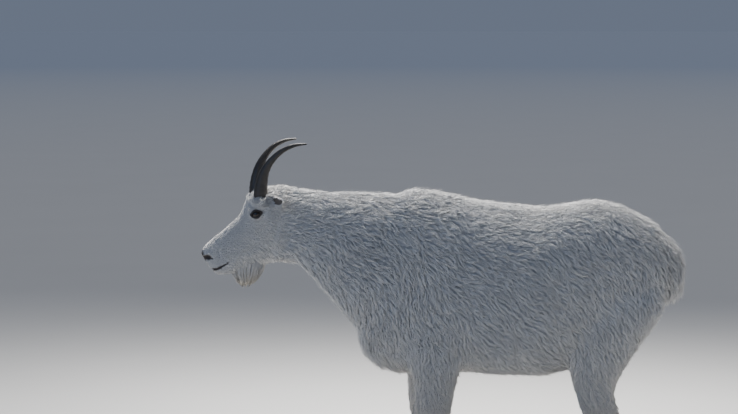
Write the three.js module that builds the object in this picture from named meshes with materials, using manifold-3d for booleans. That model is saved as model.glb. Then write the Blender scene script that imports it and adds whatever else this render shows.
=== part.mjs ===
// Mountain goat, life size, standing square on level ground with its head turned a little to its left.
// It faces -X, its left side is -Y, +Z is up, and the soles rest on z = 0. Millimetres throughout.
import * as THREE from "three";
import Module from "manifold-3d";

const wasm = await Module();
wasm.setup();

// Joints between neighbouring pieces
const GAP = 0.4;
const HALF_GAP = GAP / 2;
const ROOM = 3000; // size of the blocks that cut a body in two

// Carriage of the head: the pivot is where the skull meets the neck
const HEAD_PIVOT = new THREE.Vector3(-520, 0, 930);
const HEAD_YAW = THREE.MathUtils.degToRad(14.5);
const HEAD_ROLL = THREE.MathUtils.degToRad(3.5);

// Stance: half the width between the feet, and how far a foot stands ahead of or behind its place
const FORE_SPREAD = 98;
const HIND_SPREAD = 94;
const FORE_LEAD = 19;
const HIND_LAG = 6;
const HIND_LEAD = 5;

// Organs of the head, from the pivot, for the left side; the right side mirrors them
const EYE_AT = new THREE.Vector3(-84, -49, -13);
const EYE_RADIUS = 16;
const BROW = { at: [-78, -38, -7], radii: [34, 25, 25] };
const CHEEK = { at: [-22, -30, -98], radii: [52, 26, 42] };
const NOSE_WING = { at: [-232, -16, -146], radii: [15, 12, 12] };
const NOSTRIL = { at: [-246, -18, -149], radii: [11, 5, 6] };
const EAR_ROOT = new THREE.Vector3(-23, -44, 46);
const EAR_AXIS = new THREE.Vector3(-0.13, -0.98, -0.12).normalize();
const EAR_FACE = new THREE.Vector3(-0.71, 0.18, -0.65).normalize();
const EAR = { length: 112, halfWidth: 22, stem: 10, cup: 17, thickness: 6, widest: 0.72 };
const EAR_FORM = { across: 6, along: 8 };

// Mouth: a thin cut that slopes up and back from the lips and ends behind the chin
const MOUTH_FRONT = new THREE.Vector3(-236, 0, -193);
const MOUTH_SLOPE = THREE.MathUtils.degToRad(23);
const JAW_LENGTH = 178;
const JAW_AHEAD = 40; // the cut starts this far in front of the lips

// Feet: two toes to a foot, with two dew claws behind the fetlock
const TOE = { length: 88, width: 37, height: 62, spread: 21, rake: 11, narrowing: 0.2, sides: 10 };
const TOE_SQUARE = { ends: 2.3, outside: 2, inside: 4 };
const DEW_CLAW = { length: 30, radius: 8.5, spread: 17, back: 40, drop: 18, droop: 0.35, sides: 10 };

// Planes that part the flesh, each through a point at the top and one at the bottom of the side view
const NAPE = [[-516, 1002], [-550, 759]];
const COLLAR = [[-157, 986], [-261, 482]];

// How finely each body is faceted, and how far its domed ends stand out
const TRUNK_FORM = { around: 20, along: 17, domes: [40, 44] };
const NECK_FORM = { around: 18, along: 8, domes: [30, 60] };
const HEAD_FORM = { around: 20, along: 17, domes: [12, 45] };
const LEG_FORM = { around: 12, along: 12, domes: [40, 6], domeRings: 2 };
const TAIL_FORM = { around: 10, along: 6, domes: [12, 14] };
const BEARD_FORM = { around: 10, along: 4, domes: [8, 8], domeRings: 2 };
const HORN_FORM = { around: 10, along: 13 };
const BALL_FORM = [12, 8];

// Finishes
const FUR = { color: 0xdadbd9, roughness: 0.95, metalness: 0 };
const HORN = { color: 0x26221f, roughness: 0.45, metalness: 0 };
const HOOF = { color: 0x2f2a26, roughness: 0.6, metalness: 0 };
const EYE = { color: 0x1b120b, roughness: 0.08, metalness: 0 };

// A rib is one cross section: its top and bottom (or front and back) in the side view, its half width,
// how far it stands to the side, how square it is (2 is an ellipse) and how much narrower it is on top.
function rib(topX, topZ, bottomX, bottomZ, half, { y = 0, square = 2.2, taper = 0 } = {}) {
  return {
    middle: new THREE.Vector3((topX + bottomX) / 2, y, (topZ + bottomZ) / 2),
    reach: new THREE.Vector3((topX - bottomX) / 2, 0, (topZ - bottomZ) / 2),
    form: new THREE.Vector3(half, square, taper),
  };
}

// The trunk, from the breast to the rump
const TRUNK = [
  rib(-223, 866, -286, 545, 84, { taper: 0.05 }),
  rib(-179, 974, -246, 438, 126, { taper: 0.12 }),
  rib(-109, 992, -150, 404, 148, { taper: 0.14 }),
  rib(-21, 988, -21, 404, 163, { taper: 0.16 }),
  rib(111, 958, 105, 403, 184, { taper: 0.14 }),
  rib(237, 945, 231, 394, 203, { taper: 0.1 }),
  rib(325, 938, 325, 396, 200, { taper: 0.05 }),
  rib(420, 955, 413, 428, 184, { taper: 0.03 }),
  rib(514, 957, 502, 478, 174, { taper: 0.05 }),
  rib(602, 921, 584, 529, 156, { taper: 0.08 }),
  rib(674, 878, 647, 583, 126, { taper: 0.08 }),
  rib(724, 800, 705, 630, 84),
];

// The neck, from the poll down into the shoulders
const NECK = [
  rib(-506, 1003, -544, 760, 62, { taper: 0.05 }),
  rib(-418, 990, -462, 744, 76, { taper: 0.1 }),
  rib(-314, 985, -364, 640, 98, { taper: 0.15 }),
  rib(-188, 982, -292, 556, 122, { taper: 0.15 }),
  rib(-46, 954, -188, 482, 140, { taper: 0.15 }),
];

// The head from the nose to the poll, in its own frame before it turns
const HEAD = [
  rib(-248, -131, -195, -206, 27, { square: 2.5 }),
  rib(-236, -111, -170, -209, 33, { square: 2.5, taper: 0.05 }),
  rib(-211, -91, -137, -200, 34, { square: 2.4, taper: 0.1 }),
  rib(-181, -67, -98, -188, 37, { square: 2.4, taper: 0.1 }),
  rib(-152, -41, -59, -178, 43, { square: 2.3, taper: 0.04 }),
  rib(-128, -19, -25, -170, 50, { square: 2.3, taper: -0.03 }),
  rib(-116, 8, 1, -162, 56, { square: 2.3, taper: -0.06 }),
  rib(-102, 34, 23, -150, 59, { square: 2.5, taper: -0.06 }),
  rib(-86, 56, 43, -133, 61, { square: 2.7, taper: -0.03 }),
  rib(-55, 68, 67, -111, 62, { square: 2.5, taper: 0.02 }),
  rib(-19, 72, 90, -88, 64, { square: 2.2, taper: 0.05 }),
];

// The beard hangs from the jaw in a short wedge
const BEARD = [
  rib(-155, -186, -38, -160, 30),
  rib(-148, -216, -50, -196, 26),
  rib(-132, -242, -70, -232, 17),
  rib(-118, -258, -99, -256, 8),
];

// A fore leg from the shoulder to the pastern; front and back take the place of top and bottom
const FORE_LEG = [
  rib(-147, 797, 54, 759, 48, { y: 5 }),
  rib(-160, 608, 73, 583, 71, { y: 0 }),
  rib(-135, 482, 64, 482, 66, { y: 2 }),
  rib(-103, 394, 40, 394, 57, { y: 2 }),
  rib(-98, 324, 27, 328, 50, { y: 1 }),
  rib(-93, 268, 17, 271, 44),
  rib(-75, 217, 10, 217, 35),
  rib(-65, 151, 1, 148, 30),
  rib(-78, 107, 4, 98, 36),
  rib(-94, 72, -12, 54, 38),
];
const FORE_KNEE = [[-120, 283], [60, 286]];
const FORE_TOE_X = -120;

// A hind leg from the hip to the pastern
const HIND_LEG = [
  rib(462, 790, 690, 730, 54, { y: 16 }),
  rib(384, 639, 692, 606, 84, { y: 2 }),
  rib(376, 529, 642, 545, 80, { y: 2 }),
  rib(385, 457, 595, 472, 70, { y: 3 }),
  rib(398, 387, 551, 406, 58, { y: 2 }),
  rib(417, 324, 535, 343, 47, { y: 1 }),
  rib(435, 274, 558, 299, 40),
  rib(464, 230, 555, 243, 33),
  rib(480, 186, 543, 180, 28),
  rib(473, 110, 539, 98, 34),
  rib(454, 66, 527, 47, 36),
];
const HIND_HOCK = [[400, 296], [610, 334]];
const HIND_TOE_X = 430;

// The tail, pressed down over the rump, from root to tip; back and front of each rib
const TAIL = [
  rib(700, 846, 662, 798, 22),
  rib(738, 794, 688, 762, 30),
  rib(763, 718, 710, 712, 36),
  rib(751, 650, 711, 654, 26),
];

// The horn's sheath: where its middle runs in the head's frame, and its half depth at each place
const HORN_PATH = [
  { at: [-69, -33, 26], half: 22 },
  { at: [-69, -36, 60], half: 21 },
  { at: [-66, -40, 92], half: 18 },
  { at: [-57, -46, 126], half: 14 },
  { at: [-38, -54, 158], half: 10.5 },
  { at: [-8, -62, 187], half: 8 },
  { at: [29, -68, 204], half: 5.5 },
  { at: [67, -73, 209], half: 2.4 },
];
const HORN_FLATNESS = 0.9;

// Joins rings of points, first and last closed by a point each, into one closed geometry facing out.
function closeRings(start, rings, end) {
  const n = rings[0].length;
  const points = [start, ...rings.flat(), end];
  const last = points.length - 1;
  const at = (ring, k) => 1 + ring * n + (k % n);
  const index = [];
  for (let k = 0; k < n; k++) {
    index.push(0, at(0, k + 1), at(0, k));
    index.push(last, at(rings.length - 1, k), at(rings.length - 1, k + 1));
    for (let r = 0; r < rings.length - 1; r++) {
      index.push(at(r, k), at(r, k + 1), at(r + 1, k + 1), at(r, k), at(r + 1, k + 1), at(r + 1, k));
    }
  }
  const geometry = new THREE.BufferGeometry().setFromPoints(points);
  geometry.setIndex(index);
  return volumeOf(geometry) < 0 ? reversed(geometry) : geometry;
}

// Six times the signed volume of a closed geometry: the sum of its faces' triple products.
function volumeOf(geometry) {
  const p = geometry.getAttribute("position");
  const corner = (i) => new THREE.Vector3().fromBufferAttribute(p, geometry.index.getX(i));
  let sum = 0;
  for (let i = 0; i < geometry.index.count; i += 3) {
    sum += corner(i).dot(corner(i + 1).cross(corner(i + 2)));
  }
  return sum;
}

function reversed(geometry) {
  const index = Array.from(geometry.index.array);
  for (let i = 0; i < index.length; i += 3) {
    [index[i + 1], index[i + 2]] = [index[i + 2], index[i + 1]];
  }
  return geometry.setIndex(index);
}

// A smooth body through ribs. Middle, reach and form each run along a spline, every section is a
// superellipse, and a dome of the given height closes each end. A grown body is larger all round.
function loft(ribs, { around, along, domes, domeRings = 3, grow = 0 }) {
  const spline = (key) => new THREE.CatmullRomCurve3(ribs.map((r) => r[key]), false, "centripetal");
  const [middles, reaches, forms] = [spline("middle"), spline("reach"), spline("form")];
  const ring = (t, scale, shift) => {
    const middle = middles.getPoint(t).add(shift);
    const reach = reaches.getPoint(t);
    reach.setLength((reach.length() + grow) * scale);
    const [half, square, taper] = forms.getPoint(t).toArray();
    return Array.from({ length: around }, (_, k) => {
      const angle = (2 * Math.PI * k) / around;
      const up = bend(Math.sin(angle), square);
      const out = bend(Math.cos(angle), square) * (1 - taper * up) * (half + grow) * scale;
      return middle.clone().addScaledVector(reach, up).add(new THREE.Vector3(0, out, 0));
    });
  };
  const outward = (t, sign) => {
    const reach = reaches.getPoint(t);
    const away = new THREE.Vector3(reach.z, 0, -reach.x).normalize();
    return away.multiplyScalar(Math.sign(away.dot(middles.getTangent(t))) * sign);
  };
  const dome = (t, sign, height) => {
    const way = outward(t, sign);
    const rings = [];
    for (let k = 1; k < domeRings; k++) {
      const angle = (Math.PI / 2) * (k / domeRings);
      rings.push(ring(t, Math.cos(angle), way.clone().multiplyScalar((height + grow) * Math.sin(angle))));
    }
    return { rings, tip: middles.getPoint(t).addScaledVector(way, height + grow) };
  };
  const none = new THREE.Vector3();
  const body = Array.from({ length: along + 1 }, (_, k) => ring(k / along, 1, none));
  const first = dome(0, -1, domes[0]);
  const final = dome(1, 1, domes[1]);
  return closeRings(first.tip, [...first.rings.reverse(), ...body, ...final.rings], final.tip);
}

// A sine or cosine bent towards a square's corners: its size is raised to 2 / square.
function bend(value, square) {
  return Math.sign(value) * Math.abs(value) ** (2 / square);
}

function ellipsoid({ at, radii }, { side = 1, grow = 0 } = {}) {
  const grown = radii.map((r) => r + grow);
  return new THREE.SphereGeometry(1, ...BALL_FORM).scale(...grown).translate(at[0], side * at[1], at[2]);
}

// A body of round sections square to a path, each flattened a little from side to side.
function sheath(path, side, { around, along }) {
  const at = (p) => new THREE.Vector3(p.at[0], side * p.at[1], p.at[2]);
  const line = new THREE.CatmullRomCurve3(path.map(at), false, "centripetal");
  const halves = new THREE.CatmullRomCurve3(path.map((p) => new THREE.Vector3(p.half, 0, 0)));
  const rings = Array.from({ length: along + 1 }, (_, k) => {
    const t = k / along;
    const way = line.getTangent(t);
    const flank = new THREE.Vector3(0, 1, 0).addScaledVector(way, -way.y).normalize();
    const front = way.clone().cross(flank);
    const half = halves.getPoint(t).x;
    return Array.from({ length: around }, (_, i) => {
      const angle = (2 * Math.PI * i) / around;
      const point = line.getPoint(t).addScaledVector(front, Math.cos(angle) * half);
      return point.addScaledVector(flank, Math.sin(angle) * half * HORN_FLATNESS);
    });
  });
  const tip = line.getPoint(1).addScaledVector(line.getTangent(1), halves.getPoint(1).x);
  return closeRings(line.getPoint(0), rings, tip);
}

// An ear: a leaf that is narrow at its root, widest before its middle and pointed, cupped like a
// trough towards its open face. Two sheets, inside and outside, share their rims.
function leaf(side) {
  const { across, along } = EAR_FORM;
  const flip = (v) => new THREE.Vector3(v.x, side * v.y, v.z);
  const [root, axis, face] = [flip(EAR_ROOT), flip(EAR_AXIS), flip(EAR_FACE)];
  face.addScaledVector(axis, -face.dot(axis)).normalize();
  const flank = axis.clone().cross(face);
  const point = (u, v, depth, pinch = 1) => {
    const swell = Math.sin(Math.PI * THREE.MathUtils.clamp(u, 0, 0.999) ** EAR.widest) ** 0.8;
    const halfWidth = EAR.stem * (1 - u) + EAR.halfWidth * swell + 1;
    const lift = EAR.cup * (1 - Math.max(u, 0) ** 3) * (v * v - 0.4);
    return root
      .clone()
      .addScaledVector(axis, u * EAR.length)
      .addScaledVector(flank, v * halfWidth * pinch)
      .addScaledVector(face, (lift + depth * Math.sqrt(Math.max(0, 1 - v * v))) * pinch);
  };
  const deep = EAR.thickness / 2;
  const ring = (u, pinch) => {
    const inner = Array.from({ length: across }, (_, k) => point(u, -1 + (2 * k) / across, deep, pinch));
    const outer = Array.from({ length: across }, (_, k) => point(u, 1 - (2 * k) / across, -deep, pinch));
    return [...inner, ...outer];
  };
  const [heel, lastRing] = [-0.05, 0.985];
  const rings = Array.from({ length: along + 1 }, (_, r) => ring((r / along) * lastRing, 1));
  return closeRings(point(heel - 0.01, 0, 0, 0), [ring(heel, 0.1), ...rings], point(1, 0, 0));
}

// One toe of a cloven hoof: a flat sole, a raked front wall, a flat inner side and a round outer one.
// It narrows upwards, and its sole is a little smaller than the wall just above it.
function toe(x, y, side) {
  const outline = (level, rim = 1) => {
    const shrink = (1 - TOE.narrowing * level) * rim;
    const middleX = x + TOE.length / 2 + TOE.rake * level;
    return Array.from({ length: TOE.sides }, (_, k) => {
      const angle = (2 * Math.PI * k) / TOE.sides;
      const outer = Math.sin(angle) > 0;
      const share = outer ? 0.58 : 0.42;
      const reach = bend(Math.sin(angle), outer ? TOE_SQUARE.outside : TOE_SQUARE.inside) * share * TOE.width;
      const along = bend(Math.cos(angle), TOE_SQUARE.ends) * (TOE.length / 2);
      return new THREE.Vector3(middleX + along * shrink, y + side * reach * shrink, level * TOE.height);
    });
  };
  const rings = [outline(0, 0.97), outline(0.1), outline(1)];
  const centre = (ring) => ring.reduce((sum, p) => sum.add(p), new THREE.Vector3()).divideScalar(TOE.sides);
  return closeRings(centre(rings[0]), rings, centre(rings.at(-1)));
}

// A dew claw: a blunt cone that points down and back behind the fetlock.
function dewClaw(x, y, z) {
  const cone = new THREE.ConeGeometry(DEW_CLAW.radius, DEW_CLAW.length, DEW_CLAW.sides, 1);
  return cone.rotateX(-Math.PI / 2 - DEW_CLAW.droop).rotateZ(-Math.PI / 2).translate(x, y, z);
}

// Geometry to solid, in the frame of the whole animal. Points that coincide become one.
function solid(geometry, place = new THREE.Matrix4()) {
  const world = geometry.clone().applyMatrix4(place);
  const seen = new Map();
  const points = [];
  const p = world.getAttribute("position");
  const index = world.index ? Array.from(world.index.array) : Array.from({ length: p.count }, (_, i) => i);
  const name = (i) => [p.getX(i), p.getY(i), p.getZ(i)].map((v) => Math.round(v * 1e4)).join();
  const shared = index.map((i) => {
    const key = name(i);
    if (!seen.has(key)) {
      seen.set(key, points.length / 3);
      points.push(p.getX(i), p.getY(i), p.getZ(i));
    }
    return seen.get(key);
  });
  const faces = [];
  for (let i = 0; i < shared.length; i += 3) {
    const [a, b, c] = shared.slice(i, i + 3);
    if (a !== b && b !== c && c !== a) faces.push(a, b, c);
  }
  return new wasm.Manifold(
    new wasm.Mesh({
      numProp: 3,
      vertProperties: new Float32Array(points),
      triVerts: new Uint32Array(faces),
    }),
  );
}

// What is left outside the flesh of a piece that grows from it: its largest body.
function outside(flesh, body) {
  return body.subtract(flesh).decompose().reduce((a, b) => (a.volume() > b.volume() ? a : b));
}

// Solid to mesh, back in the frame of the group that holds it.
function meshOf(name, body, finish, parent) {
  const { vertProperties, triVerts, numProp } = body.getMesh();
  const points = [];
  for (let i = 0; i < vertProperties.length; i += numProp) {
    points.push(new THREE.Vector3(...vertProperties.subarray(i, i + 3)));
  }
  const geometry = new THREE.BufferGeometry().setFromPoints(points);
  geometry.setIndex(Array.from(triVerts));
  parent.updateWorldMatrix(true, false);
  geometry.applyMatrix4(parent.matrixWorld.clone().invert());
  geometry.computeVertexNormals();
  const mesh = new THREE.Mesh(geometry, new THREE.MeshStandardMaterial(finish));
  mesh.name = name;
  parent.add(mesh);
  return mesh;
}

// The block behind a cut: everything on the +X side of a line in the side view, moved by a shift.
function behind([[topX, topZ], [bottomX, bottomZ]], shift) {
  const lean = Math.atan2(topX - bottomX, topZ - bottomZ);
  const block = new THREE.BoxGeometry(ROOM, ROOM, ROOM).translate(ROOM / 2 + shift, 0, 0);
  return solid(block.rotateY(lean).translate((topX + bottomX) / 2, 0, (topZ + bottomZ) / 2));
}

// The block above a cut that runs from front to back in the side view, moved up by a shift.
function above([[frontX, frontZ], [backX, backZ]], shift) {
  const tilt = Math.atan2(frontZ - backZ, backX - frontX);
  const block = new THREE.BoxGeometry(ROOM, ROOM, ROOM).translate(0, 0, ROOM / 2 + shift);
  return solid(block.rotateY(tilt).translate((frontX + backX) / 2, 0, (frontZ + backZ) / 2));
}

const goat = new THREE.Group();
const headGroup = new THREE.Group();
headGroup.position.copy(HEAD_PIVOT);
headGroup.rotation.set(HEAD_ROLL, 0, HEAD_YAW, "ZXY");
goat.add(headGroup);
headGroup.updateWorldMatrix(true, false);
const inHead = headGroup.matrixWorld;

// What is given for the left keeps its Y as it is, and the right mirrors it; left is towards -Y
const SIDES = [
  { name: "left", side: 1, sign: -1 },
  { name: "right", side: -1, sign: 1 },
];

// Legs: each is one body, parted at the knee or hock, on a group that stands where the foot does
const LEGS = [
  {
    name: "foreleg",
    ribs: FORE_LEG,
    joint: FORE_KNEE,
    toeX: FORE_TOE_X,
    spread: FORE_SPREAD,
    steps: { left: 0, right: -FORE_LEAD },
  },
  {
    name: "hindleg",
    ribs: HIND_LEG,
    joint: HIND_HOCK,
    toeX: HIND_TOE_X,
    spread: HIND_SPREAD,
    steps: { left: -HIND_LEAD, right: HIND_LAG },
  },
];

function addLeg({ name, ribs, joint, toeX, spread, steps }, { name: sideName, sign }) {
  const group = new THREE.Group();
  group.position.set(steps[sideName], sign * spread, 0);
  goat.add(group);
  group.updateWorldMatrix(true, false);
  const place = group.matrixWorld;
  const mirror = new THREE.Vector3(1, -sign, 1);
  const mirrored = ribs.map((r) => ({ ...r, middle: r.middle.clone().multiply(mirror) }));
  const whole = solid(loft(mirrored, LEG_FORM), place);
  const grown = solid(loft(mirrored, { ...LEG_FORM, grow: GAP }), place);
  const jointHere = joint.map(([x, z]) => [x + group.position.x, z]);
  meshOf(`${name}_${sideName}_upper`, whole.intersect(above(jointHere, HALF_GAP)), FUR, group);
  meshOf(`${name}_${sideName}_lower`, whole.subtract(above(jointHere, -HALF_GAP)), FUR, group);
  const fetlock = ribs.at(-2).middle;
  for (const claw of SIDES) {
    const hoof = solid(toe(toeX, claw.sign * TOE.spread, claw.sign), place).subtract(grown);
    meshOf(`hoof_${name}_${sideName}_${claw.name}`, hoof, HOOF, group);
    const dewX = fetlock.x + DEW_CLAW.back;
    const dew = dewClaw(dewX, claw.sign * DEW_CLAW.spread, fetlock.z - DEW_CLAW.drop);
    meshOf(`dewclaw_${name}_${sideName}_${claw.name}`, solid(dew, place).subtract(grown), HOOF, group);
  }
  return grown;
}

const legSockets = LEGS.flatMap((leg) => SIDES.map((side) => addLeg(leg, side)));

// Trunk, neck and head as one body, before it is parted
function fleshBody(grow) {
  const trunk = solid(loft(TRUNK, { ...TRUNK_FORM, grow }));
  const neck = solid(loft(NECK, { ...NECK_FORM, grow }));
  const head = solid(loft(HEAD, { ...HEAD_FORM, grow }), inHead);
  const bulges = SIDES.flatMap(({ side }) =>
    [BROW, CHEEK, NOSE_WING].map((bulge) => solid(ellipsoid(bulge, { side, grow }), inHead)),
  );
  return bulges.reduce((whole, bulge) => whole.add(bulge), trunk.add(neck).add(head));
}

const flesh = fleshBody(0);
const fleshGrown = fleshBody(GAP);

// Eyes stand in sockets that clear them all round; horns and ears end at the skin
const sockets = [];
for (const { name, side } of SIDES) {
  const eyeball = (radius) => {
    const ball = new THREE.SphereGeometry(radius, ...BALL_FORM).rotateX(Math.PI / 2);
    return solid(ball.translate(EYE_AT.x, side * EYE_AT.y, EYE_AT.z), inHead);
  };
  meshOf(`eye_${name}`, eyeball(EYE_RADIUS), EYE, headGroup);
  sockets.push(eyeball(EYE_RADIUS + GAP));
  const horn = solid(sheath(HORN_PATH, side, HORN_FORM), inHead);
  meshOf(`horn_${name}`, outside(fleshGrown, horn), HORN, headGroup);
  meshOf(`ear_${name}`, outside(fleshGrown, solid(leaf(side), inHead)), FUR, headGroup);
  sockets.push(solid(ellipsoid(NOSTRIL, { side }), inHead));
}

// The jaw: the block below the mouth's slope, from the lips to behind the chin
function jawBlock(shift) {
  const block = new THREE.BoxGeometry(JAW_LENGTH + 2 * shift, ROOM, ROOM);
  block.translate(JAW_LENGTH / 2 - JAW_AHEAD, 0, -ROOM / 2 + shift).rotateY(-MOUTH_SLOPE);
  return solid(block.translate(...MOUTH_FRONT.toArray()), inHead);
}

const cut = (body, holes) => holes.reduce((left, hole) => left.subtract(hole), body);
const headSide = cut(flesh.subtract(behind(NAPE, -HALF_GAP)), sockets);
const neckSide = flesh.intersect(behind(NAPE, HALF_GAP));
meshOf("head", headSide.subtract(jawBlock(HALF_GAP)), FUR, headGroup);
meshOf("jaw", headSide.intersect(jawBlock(-HALF_GAP)), FUR, headGroup);
const beard = solid(loft(BEARD, BEARD_FORM), inHead);
meshOf("beard", outside(fleshGrown, beard), FUR, headGroup);
meshOf("neck", neckSide.subtract(behind(COLLAR, -HALF_GAP)), FUR, goat);
meshOf("trunk", cut(neckSide.intersect(behind(COLLAR, HALF_GAP)), legSockets), FUR, goat);
const tail = solid(loft(TAIL, TAIL_FORM));
meshOf("tail", outside(fleshGrown, tail), FUR, goat);

export default goat;
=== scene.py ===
# %% [markdown]
# # A mountain goat in its summer coat
# A real goat is skin over muscle, with a coat of thousands of small locks, two horn sheaths, eight
# hoof toes and two wet eyes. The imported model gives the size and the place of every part, and this
# lesson builds the looks round it: first one skin for all the flesh, then the eyes, horns and hooves,
# and last the coat. Lengths are in metres; the animal faces -X, its left side is -Y, and Z is up.

import math

import bmesh
import bpy
import numpy as np
import openvdb
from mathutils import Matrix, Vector


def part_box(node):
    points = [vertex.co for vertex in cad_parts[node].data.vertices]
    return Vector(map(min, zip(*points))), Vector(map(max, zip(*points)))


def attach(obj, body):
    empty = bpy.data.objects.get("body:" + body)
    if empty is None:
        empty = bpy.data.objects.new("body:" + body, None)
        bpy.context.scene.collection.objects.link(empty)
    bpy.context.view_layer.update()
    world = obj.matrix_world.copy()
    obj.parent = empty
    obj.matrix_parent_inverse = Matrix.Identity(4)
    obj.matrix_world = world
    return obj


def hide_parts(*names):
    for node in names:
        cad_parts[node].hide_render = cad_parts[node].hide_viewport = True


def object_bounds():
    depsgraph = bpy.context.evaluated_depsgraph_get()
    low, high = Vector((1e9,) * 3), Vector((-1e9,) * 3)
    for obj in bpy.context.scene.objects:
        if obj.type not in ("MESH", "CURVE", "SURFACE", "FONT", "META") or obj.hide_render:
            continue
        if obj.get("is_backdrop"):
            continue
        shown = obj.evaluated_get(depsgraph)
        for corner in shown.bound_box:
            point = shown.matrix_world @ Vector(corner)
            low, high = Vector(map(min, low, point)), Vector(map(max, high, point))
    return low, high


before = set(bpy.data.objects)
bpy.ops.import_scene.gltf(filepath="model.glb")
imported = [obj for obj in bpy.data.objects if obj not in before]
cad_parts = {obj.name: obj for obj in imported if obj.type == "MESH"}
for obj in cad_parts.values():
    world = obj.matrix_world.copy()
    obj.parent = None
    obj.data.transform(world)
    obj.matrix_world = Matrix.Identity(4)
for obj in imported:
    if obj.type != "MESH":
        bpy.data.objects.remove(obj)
cad_low, cad_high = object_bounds()
chance = np.random.default_rng(28)
print("packed model:", len(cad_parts), "nodes")

MM = 0.001


def unit(vectors):
    """Each vector divided by its own length."""
    return vectors / np.maximum(np.linalg.norm(vectors, axis=-1, keepdims=True), 1e-9)


def ramp(low, high, value):
    """Smooth step: 0 below low, 1 above high, and 3t^2 - 2t^3 between them."""
    t = np.clip((value - low) / (high - low), 0, 1)
    return t * t * (3 - 2 * t)


# %% [markdown]
# ## The camera, the floor and the light
# The camera stands 6.7 m to the animal's left and 5 degrees above it, and its frame ends above the
# feet, as in the picture that the model follows. The light is that of bright open shade: a wide far
# light and a soft lamp, both above and behind, make the back, the forehead and the rims bright, and
# the near side is left to the cool room and a weak cool lamp.

# %% Camera, floor and lamps
VIEW_RISE = math.radians(5)
VIEW_DISTANCE = 6.7
VIEW_CENTRE = (-0.239, 0.0, 0.932)
SENSOR = 36.0
METRES_ACROSS = 738 * 3.15 * MM  # 738 pixels of 3.15 mm each
DAYLIGHT, SKYLIGHT = (1.0, 0.98, 0.95), (0.32, 0.54, 1.0)
ROOM_COLOUR, ROOM_STRENGTH = (0.55, 0.66, 0.90, 1), 0.26


def aimed(thing, place, target):
    """Puts a lamp or camera at a place and turns its -Z towards the target."""
    thing.location = place
    thing.rotation_mode = "QUATERNION"
    thing.rotation_quaternion = (Vector(target) - Vector(place)).to_track_quat("-Z", "Y")
    bpy.context.scene.collection.objects.link(thing)
    return thing


def light(name, kind, place, target, power, colour, **shape):
    """A light that shines from a place to a target; shape is an area lamp's size or the angle of a sun."""
    data = bpy.data.lights.new(name, kind)
    data.energy = power
    data.color = colour
    for label, value in shape.items():
        setattr(data, label, value)
    return aimed(bpy.data.objects.new(name, data), place, target)


camera_data = bpy.data.cameras.new("camera")
camera_data.sensor_width = SENSOR
camera_data.lens = SENSOR * VIEW_DISTANCE / METRES_ACROSS
outward = Vector((0, -math.cos(VIEW_RISE), math.sin(VIEW_RISE)))
camera_object = bpy.data.objects.new("camera", camera_data)
camera = aimed(camera_object, Vector(VIEW_CENTRE) + VIEW_DISTANCE * outward, VIEW_CENTRE)
bpy.context.scene.camera = camera

light("top_lamp", "AREA", (0.2, 1.3, 2.7), (0, 0, 0.9), 300, DAYLIGHT, size=2.0)
light("near_lamp", "AREA", (-3.0, -5.0, 2.4), (0, 0, 0.7), 55, SKYLIGHT, size=4.0)
light("back_light", "SUN", (1.5, 4.0, 6.0), (0, 0, 0), 1.0, DAYLIGHT, angle=math.radians(30))
world = bpy.data.worlds.new("soft_room")
world.use_nodes = True
background = world.node_tree.nodes["Background"]
background.inputs["Color"].default_value = ROOM_COLOUR
background.inputs["Strength"].default_value = ROOM_STRENGTH
bpy.context.scene.world = world
print("lens", round(camera_data.lens, 1), "mm")

# %% [markdown]
# ## How a surface becomes a mesh
# Each piece is worked out with whole arrays: rings of points along a path, closed by a point at each
# end. The order of the corners decides which way a face looks, so the volume that the faces enclose
# is measured, and where it comes out negative the piece is turned inside out.

# %% Mesh helpers


def circle(count):
    """That many angles, once round, without the last, which would be the first again."""
    return np.linspace(0, 2 * np.pi, count, endpoint=False)


def three_corners(points, faces):
    """The first three corners of each face, as three arrays."""
    return (points[faces[:, k]] for k in range(3))


def halved(a, b, c, d):
    """Quads with the corners a, b, c, d as two triangles each."""
    return np.concatenate([np.stack(half, -1).reshape(-1, 3) for half in ((a, b, c), (a, c, d))])


def facing_out(points, faces):
    """The same faces, reversed if the volume they enclose, a sum of triple products, is negative."""
    a, b, c = three_corners(points, faces)
    return faces if np.sum(a * np.cross(b, c)) > 0 else faces[:, ::-1]


def closed_rings(rings, start, end):
    """Corners and triangles of a surface through rings (count, around, 3), with a fan at each end."""
    count, around = rings.shape[:2]
    points = np.concatenate([[start], rings.reshape(-1, 3), [end]])
    k = np.arange(around)
    nxt = (k + 1) % around
    ring = 1 + np.arange(count)[:, None] * around
    wall = halved(ring[:-1] + k, ring[:-1] + nxt, ring[1:] + nxt, ring[1:] + k)
    first_fan = np.stack([0 * k, 1 + nxt, 1 + k], -1)
    last_fan = np.stack([0 * k + len(points) - 1, ring[-1] + k, ring[-1] + nxt], -1)
    return points, facing_out(points, np.concatenate([wall, first_fan, last_fan]))


def tube_loop(path, out, radius, around=8):
    """A closed tube along a closed path; out points from the path away from what it lies on."""
    way = unit(np.roll(path, -1, 0) - np.roll(path, 1, 0))
    side = unit(np.cross(way, out))
    up = np.cross(side, way)
    angle = circle(around)[None, :, None]
    section = np.cos(angle) * side[:, None] + np.sin(angle) * up[:, None]
    points = path[:, None] + radius[:, None, None] * section
    n = len(path)
    i, k = np.meshgrid(np.arange(n), np.arange(around), indexing="ij")
    at = lambda p, q: (p % n) * around + q % around
    faces = halved(at(i, k), at(i, k + 1), at(i + 1, k + 1), at(i + 1, k))
    points = points.reshape(-1, 3)
    return points, facing_out(points - path.mean(0), faces)


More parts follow.
